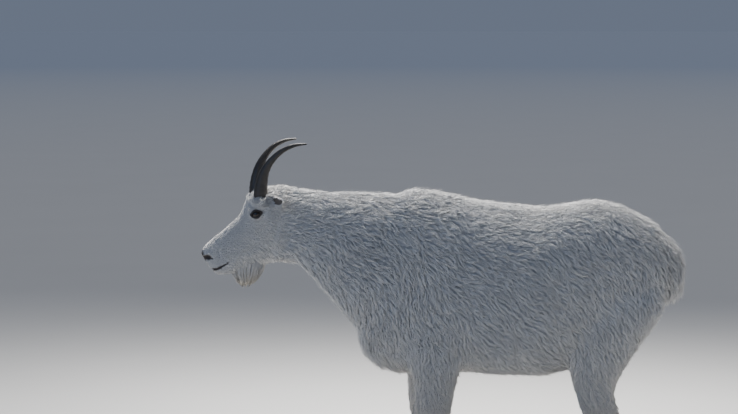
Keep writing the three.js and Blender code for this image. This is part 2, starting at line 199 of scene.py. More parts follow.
def spline(rows, t):
    """A Catmull-Rom curve through rows of numbers, read at t from 0 to 1 along them."""
    rows = np.asarray(rows, float)
    padded = np.concatenate([[2 * rows[0] - rows[1]], rows, [2 * rows[-1] - rows[-2]]])
    place = np.clip(t, 0, 1) * (len(rows) - 1)
    i = np.minimum(place.astype(int), len(rows) - 2)
    f = (place - i)[:, None]
    p0, p1, p2, p3 = (padded[i + k] for k in range(4))
    curve = 2 * p1 + (p2 - p0) * f + (2 * p0 - 5 * p1 + 4 * p2 - p3) * f**2
    return 0.5 * (curve + (3 * p1 - p0 - 3 * p2 + p3) * f**3)


def piece(name, points, faces, material, slot, stands_for=()):
    """A mesh object from arrays, riding on the body, smooth shaded, in one material."""
    mesh = bpy.data.meshes.new(name)
    mesh.vertices.add(len(points))
    mesh.vertices.foreach_set("co", np.asarray(points, np.float32).ravel())
    mesh.loops.add(faces.size)
    mesh.loops.foreach_set("vertex_index", faces.astype(np.int32).ravel())
    mesh.polygons.add(len(faces))
    mesh.polygons.foreach_set("loop_start", np.arange(len(faces), dtype=np.int32) * 3)
    mesh.polygons.foreach_set("use_smooth", np.ones(len(faces), bool))
    mesh.update(calc_edges=True)
    mesh.materials.append(material)
    made = bpy.data.objects.new(name, mesh)
    bpy.context.scene.collection.objects.link(made)
    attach(made, "root")
    if stands_for:
        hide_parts(*stands_for)
    print(name, len(faces), "triangles")
    return made


def joined(parts):
    """Several (points, faces) put end to end in one pair."""
    firsts = np.cumsum([0] + [len(p) for p, _ in parts[:-1]])
    faces = [f + n for (_, f), n in zip(parts, firsts)]
    return np.concatenate([p for p, _ in parts]), np.concatenate(faces)


def numbers(made, name, values):
    """Stores four numbers, in the form of a colour, for each corner point of a piece."""
    attribute = made.data.attributes.new(name, "FLOAT_COLOR", "POINT")
    attribute.data.foreach_set("color", np.asarray(values, np.float32).ravel())


# %% [markdown]
# ## Materials
# The coat, the bare dark skin round the eyes, nose and mouth, the horn sheaths and the hooves each
# get their own shader. The colour of the hair and that of the skin under it come from one node
# group, so that skin and coat carry the same markings; it reads four numbers that the meshes carry:
# how near the tip of its lock a point is, how dark and how warm its place on the body is, and how
# light its lock came out.

# %% Materials
# The root colour is partly the greyer undercoat and partly painted shade, the darkness deep between the
# locks.
WHITE_HAIR, CREAM_HAIR, UNDERCOAT_AND_ROOT_SHADE = (0.80, 0.80, 0.79), (0.70, 0.62, 0.49), (0.64, 0.63, 0.62)
DARK_SKIN, BROWN_SKIN = (0.028, 0.024, 0.023), (0.062, 0.052, 0.047)


def new_group(name, numbers_in, output, kind):
    """A shader node group that takes numbers, each given with its usual value, and puts out one value."""
    tree = bpy.data.node_groups.new(name, "ShaderNodeTree")
    for label, value in numbers_in.items():
        socket = tree.interface.new_socket(label, in_out="INPUT", socket_type="NodeSocketFloat")
        socket.default_value = value
    tree.interface.new_socket(output, in_out="OUTPUT", socket_type=kind)
    return tree, tree.nodes.new("NodeGroupInput"), tree.nodes.new("NodeGroupOutput")


def feed(tree, socket, value):
    """Sets a socket to a number or a colour, or links another socket to it."""
    if isinstance(value, bpy.types.NodeSocket):
        tree.links.new(value, socket)
    else:
        socket.default_value = (*value, 1) if isinstance(value, tuple) else value


def mix(tree, factor, a, b, blend="MIX"):
    """A colour mix node: a and b are sockets or colours, factor is a socket or a number."""
    node = tree.nodes.new("ShaderNodeMix")
    node.data_type = "RGBA"
    node.blend_type = blend
    for socket, value in ((0, factor), (6, a), (7, b)):
        feed(tree, node.inputs[socket], value)
    return node.outputs[2]


def maths(tree, kind, *values):
    """A math node of that kind on sockets or numbers."""
    node = tree.nodes.new("ShaderNodeMath")
    node.operation = kind
    for socket, value in zip(node.inputs, values):
        feed(tree, socket, value)
    return node.outputs[0]


def stretched_noise(tree, scale, stretch=(1, 1, 1), detail=2.0, source=None):
    """Noise on Object coordinates, or on another vector, drawn out along its axes."""
    if source is None:
        source = tree.nodes.new("ShaderNodeTexCoord").outputs["Object"]
    mapping = tree.nodes.new("ShaderNodeMapping")
    mapping.inputs["Scale"].default_value = stretch
    tree.links.new(source, mapping.inputs["Vector"])
    noise = tree.nodes.new("ShaderNodeTexNoise")
    noise.inputs["Scale"].default_value = scale
    noise.inputs["Detail"].default_value = detail
    tree.links.new(mapping.outputs["Vector"], noise.inputs["Vector"])
    return noise.outputs["Fac"]


def coat_colour_group():
    """White hair with cream patches, darker at its roots as undercoat and painted shade, that gives way to
    dark skin by Dark.
    """
    numbers_in = {"Tip": 1.0, "Dark": 0.0, "Warm": 0.0, "Tone": 0.5}
    tree, given, out = new_group("coat_colour", numbers_in, "Color", "NodeSocketColor")
    patches = maths(tree, "MULTIPLY_ADD", stretched_noise(tree, 7.0), 0.9, -0.3)
    warm = maths(tree, "ADD", maths(tree, "MULTIPLY", patches, 0.35), given.outputs["Warm"])
    warm.node.use_clamp = True
    hair = mix(tree, warm, WHITE_HAIR, CREAM_HAIR)
    root_shaded = mix(tree, maths(tree, "POWER", given.outputs["Tip"], 0.6), UNDERCOAT_AND_ROOT_SHADE, hair)
    tone = maths(tree, "MULTIPLY_ADD", given.outputs["Tone"], 0.26, 0.80)
    toned = mix(tree, 1.0, root_shaded, tone, "MULTIPLY")
    dark = mix(tree, stretched_noise(tree, 160.0), DARK_SKIN, BROWN_SKIN)
    tree.links.new(mix(tree, given.outputs["Dark"], toned, dark), out.inputs["Color"])
    return tree


def strand_group():
    """Height of fine hairs: noise that is narrow across a lock and long down it."""
    numbers_in = {"Across": 30.0, "Along": 2.0}
    tree, given, out = new_group("fine_strands", numbers_in, "Height", "NodeSocketFloat")
    place = tree.nodes.new("ShaderNodeUVMap")
    place.uv_map = "lock"
    parts = tree.nodes.new("ShaderNodeSeparateXYZ")
    tree.links.new(place.outputs["UV"], parts.inputs[0])
    vector = tree.nodes.new("ShaderNodeCombineXYZ")
    for k, label in enumerate(numbers_in):
        scaled = maths(tree, "MULTIPLY", parts.outputs[k], given.outputs[label])
        tree.links.new(scaled, vector.inputs[k])
    tree.links.new(stretched_noise(tree, 1.0, source=vector.outputs[0]), out.inputs["Height"])
    return tree


COAT_COLOUR = coat_colour_group()
STRANDS = strand_group()


def material(name, colour, roughness, **uniform):
    """A Principled material; what is the same all over is set on the shader's own sockets."""
    made = bpy.data.materials.new(name)
    made.use_nodes = True
    shader = made.node_tree.nodes["Principled BSDF"]
    shader.inputs["Base Color"].default_value = (*colour, 1)
    shader.inputs["Roughness"].default_value = roughness
    for label, value in uniform.items():
        shader.inputs[label.replace("_", " ")].default_value = value
    made.diffuse_color = (*colour, 1)
    return made, made.node_tree, shader


def raised(tree, shader, height, strength, distance):
    """Joins a height to the shader's normal through a bump node."""
    bump = tree.nodes.new("ShaderNodeBump")
    bump.inputs["Strength"].default_value = strength
    bump.inputs["Distance"].default_value = distance
    tree.links.new(height, bump.inputs["Height"])
    tree.links.new(bump.outputs["Normal"], shader.inputs["Normal"])


def carried_numbers(tree, name):
    """The four numbers that a mesh carries under a name, as sockets."""
    carried = tree.nodes.new("ShaderNodeAttribute")
    carried.attribute_name = name
    parts = tree.nodes.new("ShaderNodeSeparateColor")
    tree.links.new(carried.outputs["Color"], parts.inputs[0])
    return [*parts.outputs, carried.outputs["Alpha"]]


def placed_group(tree, group):
    """A node that holds a group."""
    node = tree.nodes.new("ShaderNodeGroup")
    node.node_tree = group
    return node


def coloured_as_coat(tree, shader):
    """Feeds the numbers that a mesh carries in its coat attribute to the coat's colour."""
    colour = placed_group(tree, COAT_COLOUR)
    for label, socket in zip(("Tip", "Dark", "Warm", "Tone"), carried_numbers(tree, "coat")):
        tree.links.new(socket, colour.inputs[label])
    tree.links.new(colour.outputs["Color"], shader.inputs["Base Color"])


def make_materials():
    """Every finish of the animal, by name."""
    made = {}
    made["hair"], tree, shader = material(
        "hair", WHITE_HAIR, 0.75, Sheen_Weight=0.25, Sheen_Roughness=0.5, Specular_IOR_Level=0.25
    )
    coloured_as_coat(tree, shader)
    raised(tree, shader, placed_group(tree, STRANDS).outputs["Height"], 0.6, 0.0012)

    made["skin"], tree, shader = material("skin", (0.6, 0.58, 0.55), 0.8, Specular_IOR_Level=0.3)
    coloured_as_coat(tree, shader)
    raised(tree, shader, stretched_noise(tree, 420.0, detail=4.0), 0.5, 0.0012)

    made["rim"], tree, shader = material("bare_rim", (0.022, 0.018, 0.017), 0.38, Coat_Weight=0.25)
    raised(tree, shader, stretched_noise(tree, 900.0), 0.25, 0.0004)

    made["horn"], tree, shader = material(
        "horn_sheath", (0.035, 0.030, 0.027), 0.42, Specular_IOR_Level=0.5
    )
    blotch = maths(tree, "MULTIPLY", stretched_noise(tree, 38.0, (1, 1, 0.35), 4.0), 1.2)
    colour = mix(tree, blotch, (0.016, 0.015, 0.015), (0.050, 0.042, 0.034))
    tree.links.new(colour, shader.inputs["Base Color"])
    rough = maths(tree, "MULTIPLY_ADD", stretched_noise(tree, 90.0, (1, 1, 0.2)), 0.3, 0.27)
    tree.links.new(rough, shader.inputs["Roughness"])
    raised(tree, shader, stretched_noise(tree, 420.0, (1, 1, 0.08), 3.0), 0.45, 0.0008)

    made["hoof"], tree, shader = material("hoof_horn", (0.07, 0.06, 0.05), 0.6, Specular_IOR_Level=0.4)
    bands = stretched_noise(tree, 60.0, (1, 1, 3.0), 4.0)
    colour = mix(tree, bands, (0.028, 0.024, 0.021), (0.13, 0.11, 0.09))
    tree.links.new(colour, shader.inputs["Base Color"])
    raised(tree, shader, stretched_noise(tree, 260.0, (0.3, 0.3, 2.0), 3.0), 0.5, 0.001)

    made["eye"], tree, shader = material(
        "wet_eye", (0.02, 0.012, 0.008), 0.10, Coat_Weight=0.55, Coat_Roughness=0.02, IOR=1.36
    )
    in_iris, in_pupil = carried_numbers(tree, "iris")[:2]
    streaks = mix(tree, stretched_noise(tree, 700.0), (0.014, 0.008, 0.005), (0.040, 0.022, 0.011))
    iris = mix(tree, in_iris, (0.010, 0.008, 0.007), streaks)
    tree.links.new(mix(tree, in_pupil, iris, (0.003, 0.003, 0.004)), shader.inputs["Base Color"])
    return made


finish = make_materials()
print("materials:", ", ".join(finish))


FLOOR_RADIUS = 300.0
FADE_START, FADE_LENGTH = 5, 60


def floor_disc(around=96):
    """A pale round floor, one fan of triangles at z = 0; far away its colour nears that of the room."""
    angle, k = circle(around), np.arange(around)
    rim = np.stack([FLOOR_RADIUS * np.cos(angle), FLOOR_RADIUS * np.sin(angle), 0 * angle], -1)
    fan = np.stack([k, (k + 1) % around, 0 * k + around], -1)
    mesh = bpy.data.meshes.new("floor")
    mesh.from_pydata(np.concatenate([rim, [[0, 0, 0]]]), [], fan.tolist())
    paint, tree, shader = material("pale_floor", (0.53, 0.525, 0.515), 0.9)
    near = mix(tree, stretched_noise(tree, 1.3), (0.515, 0.51, 0.50), (0.545, 0.54, 0.53))
    away = tree.nodes.new("ShaderNodeVectorMath")
    away.operation = "LENGTH"
    tree.links.new(tree.nodes.new("ShaderNodeTexCoord").outputs["Object"], away.inputs[0])
    distance = away.outputs["Value"]
    far = maths(tree, "MULTIPLY_ADD", distance, 1 / FADE_LENGTH, -FADE_START / FADE_LENGTH)
    far.node.use_clamp = True
    tree.links.new(mix(tree, far, near, (0.30, 0.353, 0.451)), shader.inputs["Base Color"])
    mesh.materials.append(paint)
    disc = bpy.data.objects.new("floor", mesh)
    bpy.context.scene.collection.objects.link(disc)
    disc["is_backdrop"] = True


floor_disc()

# %% [markdown]
# ## The head's own frame
# The head is turned 14.5 degrees to the animal's left and tipped by 3.5, so its landmarks are written
# in a frame of its own, where both sides mirror each other, and carried to the body's frame by one
# turn and one shift. In that frame too the face looks along -X and the left side is -Y.

# %% Head frame and landmarks
PIVOT = np.array([-0.520, 0.0, 0.930])
YAW, ROLL = math.radians(14.5), math.radians(3.5)
YAWED = np.array([[math.cos(YAW), -math.sin(YAW), 0], [math.sin(YAW), math.cos(YAW), 0], [0, 0, 1]])
ROLLED = np.array([[1, 0, 0], [0, math.cos(ROLL), -math.sin(ROLL)], [0, math.sin(ROLL), math.cos(ROLL)]])
TURN = YAWED @ ROLLED


def from_head(points):
    """Head frame to the animal's frame."""
    return points @ TURN.T + PIVOT


def to_head(points):
    """The animal's frame to the head frame."""
    return (points - PIVOT) @ TURN


def mirrored(vector, side):
    """A landmark of the left side, given with y negative, or its mirror for side = +1."""
    x, y, z = vector
    return np.array([x, y if side < 0 else -y, z], float)


def folded(local):
    """Points of the head frame with |y| in place of y, so that one landmark serves both sides."""
    return local * [1, 0, 1] + np.abs(local) * [0, 1, 0]


SIDES = {"left": -1, "right": 1}
# The left eye: its middle, radius and outward axis; half the length and half the height of the
# opening, and the share of that height that is lost towards the corners.
EYE_AT, EYE_RADIUS, EYE_AXIS = (-0.085, -0.049, -0.011), 0.016, (-0.30, -0.945, 0.10)
OPENING, CORNER_DROP = (0.0146, 0.0104), 0.30
# The middle line of the left horn and its half depth: x, y, z, radius. Millimetres.
HORN_PATH = np.array(
    [
        (-69, -33, 26, 22),
        (-69, -36, 60, 21),
        (-66, -40, 92, 18),
        (-57, -46, 126, 14),
        (-38, -54, 158, 10.5),
        (-8, -62, 187, 8),
        (29, -68, 204, 5.5),
        (67, -73, 209, 2.4),
    ]
) * MM


def eye_frame(side):
    """Centre, outward axis, backward axis along the opening, and upward axis of an eye."""
    centre, axis = mirrored(EYE_AT, side), unit(mirrored(EYE_AXIS, side))
    back = np.array([0.96, 0.0, 0.24])
    back = unit(back - axis * (back @ axis))
    up = np.cross(axis, back)
    return centre, axis, back, up if up[2] > 0 else -up


def almond(points, side):
    """How far out a point is in the eye's opening, 1 on its rim, and its distances from the middle of the eye
    along the axis and in all. The rim is an oval whose height falls by drop * a^2 towards the corners."""
    centre, axis, back, up = eye_frame(side)
    away = points - centre
    a, b = away @ back / OPENING[0], away @ up / OPENING[1]
    rim = np.sqrt(a**2 + (b / (1 - CORNER_DROP * np.minimum(a**2, 1))) ** 2)
    return rim, away @ axis, np.linalg.norm(away, axis=-1)


# %% [markdown]
# ## The lie of the coat
# A groom knows a coat by a few facts at each place: which way the hair lies, how long and wide its
# locks are and how deep it stands. They are written down for eighty places of the left side and
# mirrored, and every other point takes a mean of them that weighs the nearest most. The same map
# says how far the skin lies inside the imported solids, whose surface is the tips of the coat.

# %% Coat map
# x, y, z of the place; direction of the lie; length, width and depth of the coat. Millimetres.
HEAD_COAT = [
    (-250, -5, -140, 0.35, -0.3, 0.9, 4, 1.8, 1.4),
    (-228, -26, -172, 0.90, -0.1, -0.05, 5, 1.8, 2.0),
    (-205, -30, -178, 0.92, 0.0, 0.20, 5, 1.8, 1.8),
    (-250, -5, -172, 0.10, -0.5, -0.85, 4, 1.6, 1.6),
    (-244, -5, -203, 0.35, -0.2, -0.90, 4, 1.6, 1.8),
    (-215, -24, -200, 0.80, 0.0, -0.60, 5, 1.8, 2.0),
    (-205, -10, -82, 0.75, -0.1, 0.62, 6, 2.0, 2.2),
    (-185, -33, -120, 0.95, -0.05, 0.10, 7, 2.2, 2.6),
    (-150, -33, -178, 0.95, 0.0, -0.20, 9, 2.6, 3.2),
    (-200, -12, -210, 0.75, 0.0, -0.60, 10, 2.4, 3.0),
    (-150, -14, -36, 0.70, -0.15, 0.66, 8, 2.4, 2.8),
    (-125, -45, -85, 0.93, -0.05, -0.15, 9, 2.6, 3.2),
    (-85, -60, -48, 0.90, -0.1, -0.35, 8, 2.4, 2.4),
    (-82, -60, 14, 0.75, -0.2, 0.55, 9, 2.4, 2.4),
    (-112, -46, -16, 0.60, -0.2, 0.55, 6, 2.0, 2.0),
    (-108, -14, 26, 0.45, -0.1, 0.85, 13, 3.0, 4.0),
    (-88, -10, 56, 0.45, 0.0, 0.90, 20, 3.2, 7.0),
    (-98, -32, 34, 0.50, -0.10, 0.85, 15, 2.6, 4.0),
    (-68, -60, 32, 0.30, -0.25, 0.92, 15, 2.8, 6.0),
    (-44, -36, 52, 0.45, -0.1, 0.90, 18, 3.0, 7.0),
    (-45, -62, 40, 0.95, -0.1, 0.10, 13, 3.0, 4.0),
    (-30, -15, 80, 1.00, 0.0, 0.12, 28, 4.0, 9.0),
    (-50, -64, -10, 0.95, -0.1, -0.15, 11, 2.8, 3.4),
    (-42, -62, -70, 0.85, 0.0, -0.45, 16, 3.2, 5.0),
    (-45, -48, -125, 0.75, 0.0, -0.62, 22, 3.6, 7.0),
    (35, -60, -70, 0.90, 0.0, -0.42, 25, 4.2, 10.0),
    (15, -58, 30, 1.00, 0.0, -0.10, 22, 4.0, 8.0),
    (-110, -12, -192, 0.45, 0.0, -0.88, 26, 3.0, 5.0),
    (-148, -12, -188, 0.40, 0.0, -0.90, 20, 2.8, 4.0),
    (-118, -32, -172, 0.55, 0.0, -0.82, 20, 2.8, 4.0),
    (-70, -30, -160, 0.50, 0.0, -0.85, 26, 3.2, 6.0),
    (30, -20, -100, 0.80, 0.0, -0.60, 28, 4.4, 11.0),
]
BODY_COAT = [
    (-470, -25, 990, 1.0, 0.0, -0.05, 32, 3.7, 12),
    (-350, -30, 980, 1.0, -0.15, -0.10, 36, 4.1, 14),
    (-190, -40, 984, 1.0, -0.25, -0.15, 38, 4.1, 15),
    (-20, -50, 980, 1.0, -0.30, -0.15, 34, 4.1, 13),
    (150, -60, 950, 1.0, -0.35, -0.10, 32, 3.7, 12),
    (320, -60, 936, 1.0, -0.35, -0.08, 32, 3.7, 12),
    (500, -60, 950, 1.0, -0.40, -0.20, 32, 3.7, 12),
    (630, -50, 895, 0.75, -0.25, -0.60, 32, 3.7, 13),
    (-440, -72, 900, 1.0, 0.0, -0.30, 30, 3.7, 12),
    (-420, -68, 800, 0.90, 0.0, -0.50, 32, 3.7, 13),
    (-470, -15, 745, 0.70, 0.0, -0.70, 34, 3.7, 14),
    (-280, -105, 820, 0.80, 0.0, -0.60, 34, 4.1, 14),
    (-290, -40, 620, 0.30, 0.0, -0.95, 38, 4.1, 16),
    (-200, -30, 455, 0.55, 0.0, -0.83, 38, 4.1, 15),
    (-130, -145, 850, 0.65, 0.0, -0.75, 34, 4.1, 13),
    (-100, -160, 700, 0.38, 0.0, -0.92, 36, 4.1, 13),
    (-60, -150, 540, 0.45, 0.0, -0.90, 36, 4.1, 13),
    (80, -180, 760, 0.85, 0.0, -0.55, 32, 3.7, 12),
    (235, -200, 700, 0.85, 0.0, -0.55, 32, 3.7, 12),
    (150, -180, 520, 0.80, 0.0, -0.60, 36, 3.7, 13),
    (350, -192, 650, 0.68, 0.0, -0.72, 34, 3.7, 12),
    (50, -60, 408, 0.85, 0.0, -0.50, 40, 4.1, 15),
    (300, -60, 400, 0.85, 0.0, -0.50, 40, 4.1, 15),
    (480, -165, 820, 0.65, 0.0, -0.76, 30, 3.7, 11),
    (520, -165, 640, 0.50, 0.0, -0.86, 30, 3.7, 11),
    (660, -110, 700, 0.30, 0.0, -0.95, 32, 3.7, 12),
    (700, -40, 760, 0.20, 0.0, -1.0, 34, 3.7, 14),
    (-40, -165, 470, 0.15, 0.0, -1.0, 28, 3.4, 10),
    (-125, -100, 400, 0.10, 0.0, -1.0, 24, 3.6, 9),
    (15, -100, 395, 0.08, 0.0, -1.0, 15, 3.0, 6.0),
    (-35, -62, 400, 0.10, 0.0, -1.0, 16, 3.0, 6.0),
    (-35, -100, 310, 0.05, 0.0, -1.0, 18, 3.2, 6.5),
    (-35, -100, 190, 0.03, 0.0, -1.0, 13, 2.7, 4.5),
    (-38, -100, 110, 0.05, 0.0, -1.0, 12, 2.5, 4.5),
    (0, -100, 104, 0.20, 0.0, -1.0, 12, 2.4, 2.4),
    (-40, -100, 66, 0.0, 0.0, -1.0, 16, 2.7, 4.0),
    (480, -150, 480, 0.35, 0.0, -0.93, 28, 3.4, 10),
    (480, -115, 385, 0.40, 0.0, -0.90, 22, 3.6, 8),
    (490, -95, 290, 0.10, 0.0, -1.0, 16, 3.1, 5.5),
    (510, -95, 190, 0.03, 0.0, -1.0, 13, 2.7, 4.5),
    (505, -95, 110, 0.05, 0.0, -1.0, 12, 2.5, 4.5),
    (538, -95, 104, 0.20, 0.0, -1.0, 12, 2.4, 2.4),
    (490, -95, 64, 0.0, 0.0, -1.0, 16, 2.7, 4.0),
    (430, -40, 440, 0.35, 0.0, -0.93, 26, 3.4, 10),
    (-60, -30, 470, 0.45, 0.0, -0.88, 28, 3.6, 11),
    (735, -5, 790, 0.30, 0.0, -0.95, 48, 3.7, 17),
    (740, -5, 715, 0.05, 0.0, -1.0, 50, 3.7, 19),
    (735, -5, 660, 0.0, 0.0, -1.0, 40, 3.7, 17),
]


def coat_anchors():
    """The table for both sides in the animal's frame: place, lie and the three sizes, in metres."""
    rows = []
    for table, in_head in ((HEAD_COAT, True), (BODY_COAT, False)):
        for side in SIDES.values():
            part = np.array(table, float)
            part[:, [1, 4]] *= -side
            place, lie, sizes = part[:, :3] * MM, part[:, 3:6], part[:, 6:] * MM
            if in_head:
                place, lie = from_head(place), lie @ TURN.T
            rows.append(np.concatenate([place, unit(lie), sizes], 1))
    return np.concatenate(rows).astype(np.float32)


ANCHORS = coat_anchors()
NEAR = 0.022


def coat_map(points):
    """Lie, length, width and depth at points: a mean of the table, each row weighed by
    1 / (d^2 + near^2)^2. Many points are taken in parts, so that the square of distances fits in memory."""
    found = []
    place = ANCHORS[:, :3]
    for part in np.array_split(np.asarray(points, np.float32), max(1, len(points) // 60000)):
        square = (part**2).sum(1)[:, None] + (place**2).sum(1) - 2 * part @ place.T
        weight = (np.maximum(square, 0) + NEAR**2) ** -2.0
        found.append((weight @ ANCHORS[:, 3:]) / weight.sum(1, keepdims=True))
    found = np.concatenate(found).astype(float)
    return found[:, :3], found[:, 3], found[:, 4], found[:, 5]


print("coat map:", len(ANCHORS), "places")

# %% [markdown]
# ## The skin as a field of distances
# One skin has to cover trunk, neck, head and legs without a seam. The nodes of flesh are turned into
# a field: for each cell of a grid, how far it is outside the animal. Blurring that field rounds the
# facets away, adding the depth of the coat moves its zero surface inwards, and adding small bumps
# and grooves models it. The mesh is then drawn through the zeros. The head gets cells of 2 mm and
# the body cells of 8 mm, and the two meshes are sewn together behind the ears.

# %% Distance fields
HEAD_STEP, HEAD_LOW, HEAD_HIGH = 0.00205, (-0.272, -0.172, -0.245), (0.088, 0.172, 0.105)
BODY_STEP, BODY_LOW, BODY_HIGH = 0.0077, (-0.62, -0.225, -0.03), (0.80, 0.225, 1.04)
BAND = 8


def threes(elements, label, kind, each=3):
    """What a mesh stores under a label, each number or three of every element, as rows of three."""
    values = np.empty(len(elements) * each, kind)
    elements.foreach_get(label, values)
    return values.reshape(-1, 3)


def node_mesh(names):
    """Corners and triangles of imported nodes, laid end to end in one pair of arrays."""
    meshes = [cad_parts[name].data for name in names]
    return joined(
        [
            (threes(m.vertices, "co", np.float32), threes(m.loop_triangles, "vertices", np.int32))
            for m in meshes
        ]
    )


def level_set(points, faces, low, counts, step):
    """Signed distance to a closed mesh on a grid of cells, known within BAND cells of it."""
    shape = {"triangles" if faces.shape[1] == 3 else "quads": faces.astype(np.uint32)}
    cells = np.ascontiguousarray((points - low) / step, dtype=np.float32)
    grid = openvdb.FloatGrid.createLevelSetFromPolygons(cells, halfWidth=BAND, **shape)
    values = np.empty(counts, np.float32)
    grid.copyToArray(values)
    return values * step, grid


def outer_field(points, faces, low, counts, step, grow):
    """Distance to the outside of bodies that touch: a shell is drawn a little outside, and measured from."""
    _, grid = level_set(points, faces, low, (1, 1, 1), step)
    shell, quads = grid.convertToQuads(isovalue=grow / step)
    values, _ = level_set(shell * step + low, quads, low, counts, step)
    return values + grow


def soften(field, spread):
    """Gaussian blur of a field, one axis after another; spread is in cells."""
    reach = int(math.ceil(2.5 * spread))
    taps = np.exp(-0.5 * (np.arange(-reach, reach + 1) / spread) ** 2)
    taps /= taps.sum()
    for axis in range(3):
        size = field.shape[axis]
        padded = np.pad(field, [(reach, reach) if a == axis else (0, 0) for a in range(3)], mode="edge")
        blurred = np.zeros_like(field)
        for k, tap in enumerate(taps):
            window = [slice(None)] * 3
            window[axis] = slice(k, k + size)
            blurred += np.float32(tap) * padded[tuple(window)]
        field = blurred
    return field


def soft_least(a, b, reach):
    """The smaller of two fields, with a fillet of that reach where they cross."""
    h = np.clip(0.5 + 0.5 * (b - a) / reach, 0, 1)
    return b + (a - b) * h - reach * h * (1 - h)


def surface_of(field, low, step):
    """Points and quads, facing out, where the field is zero."""
    grid = openvdb.FloatGrid(float(BAND * step))
    grid.copyFromArray(np.ascontiguousarray(field, dtype=np.float32))
    points, quads = grid.convertToQuads(isovalue=0.0)
    points = points * step + low
    return points, facing_out(points - points.mean(0), quads.astype(np.int64))


def grid_axes(low, high, step):
    """Cell positions along each axis of a box, and how many there are."""
    axes = [low[k] + step * np.arange(int((high[k] - low[k]) / step) + 1) for k in range(3)]
    return axes, [len(axis) for axis in axes]


def grid_points(axes):
    """The place of every cell."""
    return np.stack(np.meshgrid(*axes, indexing="ij"), -1)


def depth_field(axes, stride, placed=lambda points: points):
    """The coat's depth on a grid: worked out at every few cells and filled in linearly."""
    coarse = [axis[::stride] for axis in axes]
    points = grid_points(coarse).reshape(-1, 3)
    field = coat_map(placed(points))[3].reshape([len(c) for c in coarse]).astype(np.float32)
    for k, (axis, known) in enumerate(zip(axes, coarse)):
        place = np.clip((axis - known[0]) / (known[1] - known[0]), 0, len(known) - 1)
        i = np.minimum(place.astype(int), len(known) - 2)
        f = (place - i).astype(np.float32)
        f = f.reshape([len(axis) if j == k else 1 for j in range(3)])
        field = np.take(field, i, axis=k) * (1 - f) + np.take(field, i + 1, axis=k) * f
    return field


LEGS = [f"{leg}_{side}" for leg in ("foreleg", "hindleg") for side in SIDES]
TOES = [f"hoof_{leg}_{toe}" for leg in LEGS for toe in SIDES]
DEW_CLAWS = [name.replace("hoof", "dewclaw") for name in TOES]
FLESH = ["trunk", "neck", "head", "jaw", "tail", "ear_left", "ear_right"]
FLESH += [f"{leg}_{part}" for leg in LEGS for part in ("upper", "lower")]
# Balls of flesh that the solids lack: middle or shift from the claw, radius, reach of the fillet.
CLAW_SEAT = ((-0.012, 0, 0.010), 0.0135, 0.014)
TAIL_SEAT = ((0.662, 0.0, 0.775), 0.060, 0.030)


def body_skin():
    """The zero surface of the whole body's field, coarse, with the balls of flesh joined to it."""
    low = np.array(BODY_LOW)
    axes, counts = grid_axes(low, BODY_HIGH, BODY_STEP)
    solids = node_mesh([n for n in FLESH if not n.startswith("ear")] + TOES + DEW_CLAWS)
    field = outer_field(*solids, low, counts, BODY_STEP, 0.003)
    field = soften(field, 1.5) + depth_field(axes, 3)
    grid = grid_points(axes).astype(np.float32)
    claws = [(np.mean(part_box(name), axis=0) + CLAW_SEAT[0], *CLAW_SEAT[1:]) for name in DEW_CLAWS]
    for seat, radius, reach in [*claws, TAIL_SEAT]:
        ball = np.linalg.norm(grid - np.float32(seat), axis=-1) - np.float32(radius)
        field = soft_least(field, ball, reach)
    return surface_of(field, low, BODY_STEP)


# %% [markdown]
# ## Modelling the head
# The head is modelled in its own frame, where left and right are one formula of the distance from
# the middle. Balls and leaves are joined to it with soft fillets: the lids over the eyeballs, the
# ruffs round the horns and the ears. Then come the small forms, each a bump that fades with distance
# from a point or a line: brow, cheek bone, tear groove, nose wings, nostrils, philtrum, lips and chin.

# %% Head field
# Mounds: x, |y|, z of the middle; three radii; height, where a negative one is a hollow. Millimetres.
MOUNDS = [
    (-84, 56, 18, 28, 14, 9, 4.6),
    (-236, 19, -152, 7, 7, 7, -4.5),
    (-84, 60, -40, 26, 10, 8, 1.6),
    (-138, 44, -56, 34, 16, 15, -3.0),
    (-60, 58, 28, 18, 14, 14, -1.5),
    (-200, 0, -213, 20, 18, 10, 2.0),
    (-252, 0, -142, 9, 15, 12, 1.8),
    (-205, 0, -88, 30, 16, 10, 1.5),
    (-110, 0, 22, 22, 26, 16, 1.5),
    (-30, 58, -60, 30, 14, 34, 2.0),
    (-232, 20, -176, 14, 12, 8, 2.0),
    (-218, 22, -200, 14, 12, 8, 1.2),
]
# Ridges and grooves: points x, |y|, z along a line; width; height, where a negative one is a groove.
LINES = [
    ([(-60, 64, -46), (-108, 55, -70), (-152, 44, -94), (-190, 34, -118)], 7, 2.2),
    ([(-104, 50, -22), (-122, 47, -36), (-148, 42, -58)], 4.5, -2.2),
    ([(-78, 56, -84), (-92, 50, -125), (-88, 40, -165)], 9, -3.0),
    ([(0, 55, -120), (34, 60, -62), (46, 62, 0)], 11, -4.0),
    ([(-245, 12, -157), (-240, 17, -149), (-231, 21, -147)], 5.0, -8.5),
    ([(-231, 21, -149), (-221, 24, -151), (-214, 25, -156)], 2.4, -3.0),
    ([(-250, 13, -142), (-236, 24, -137), (-218, 28, -140), (-205, 28, -152)], 4.5, 2.6),
    ([(-200, 27, -132), (-196, 29, -148), (-201, 30, -164)], 4.0, -1.8),
    ([(-253, 0, -152), (-248, 0, -170), (-240, 0, -188)], 1.8, -2.0),
    ([(-242, 0, -183), (-230, 20, -181), (-208, 30, -179), (-192, 33, -171), (-174, 33, -159)], 4.5, 2.0),
    ([(-232, 0, -197), (-224, 18, -196), (-205, 28, -195), (-190, 31, -187), (-174, 32, -173)], 4.5, 1.8),
    ([(-104, 53, 4), (-84, 62, 7), (-62, 58, -2)], 2.4, -1.5),
    ([(-104, 54, -31), (-84, 62, -36), (-63, 58, -30)], 2.8, -2.0),
]
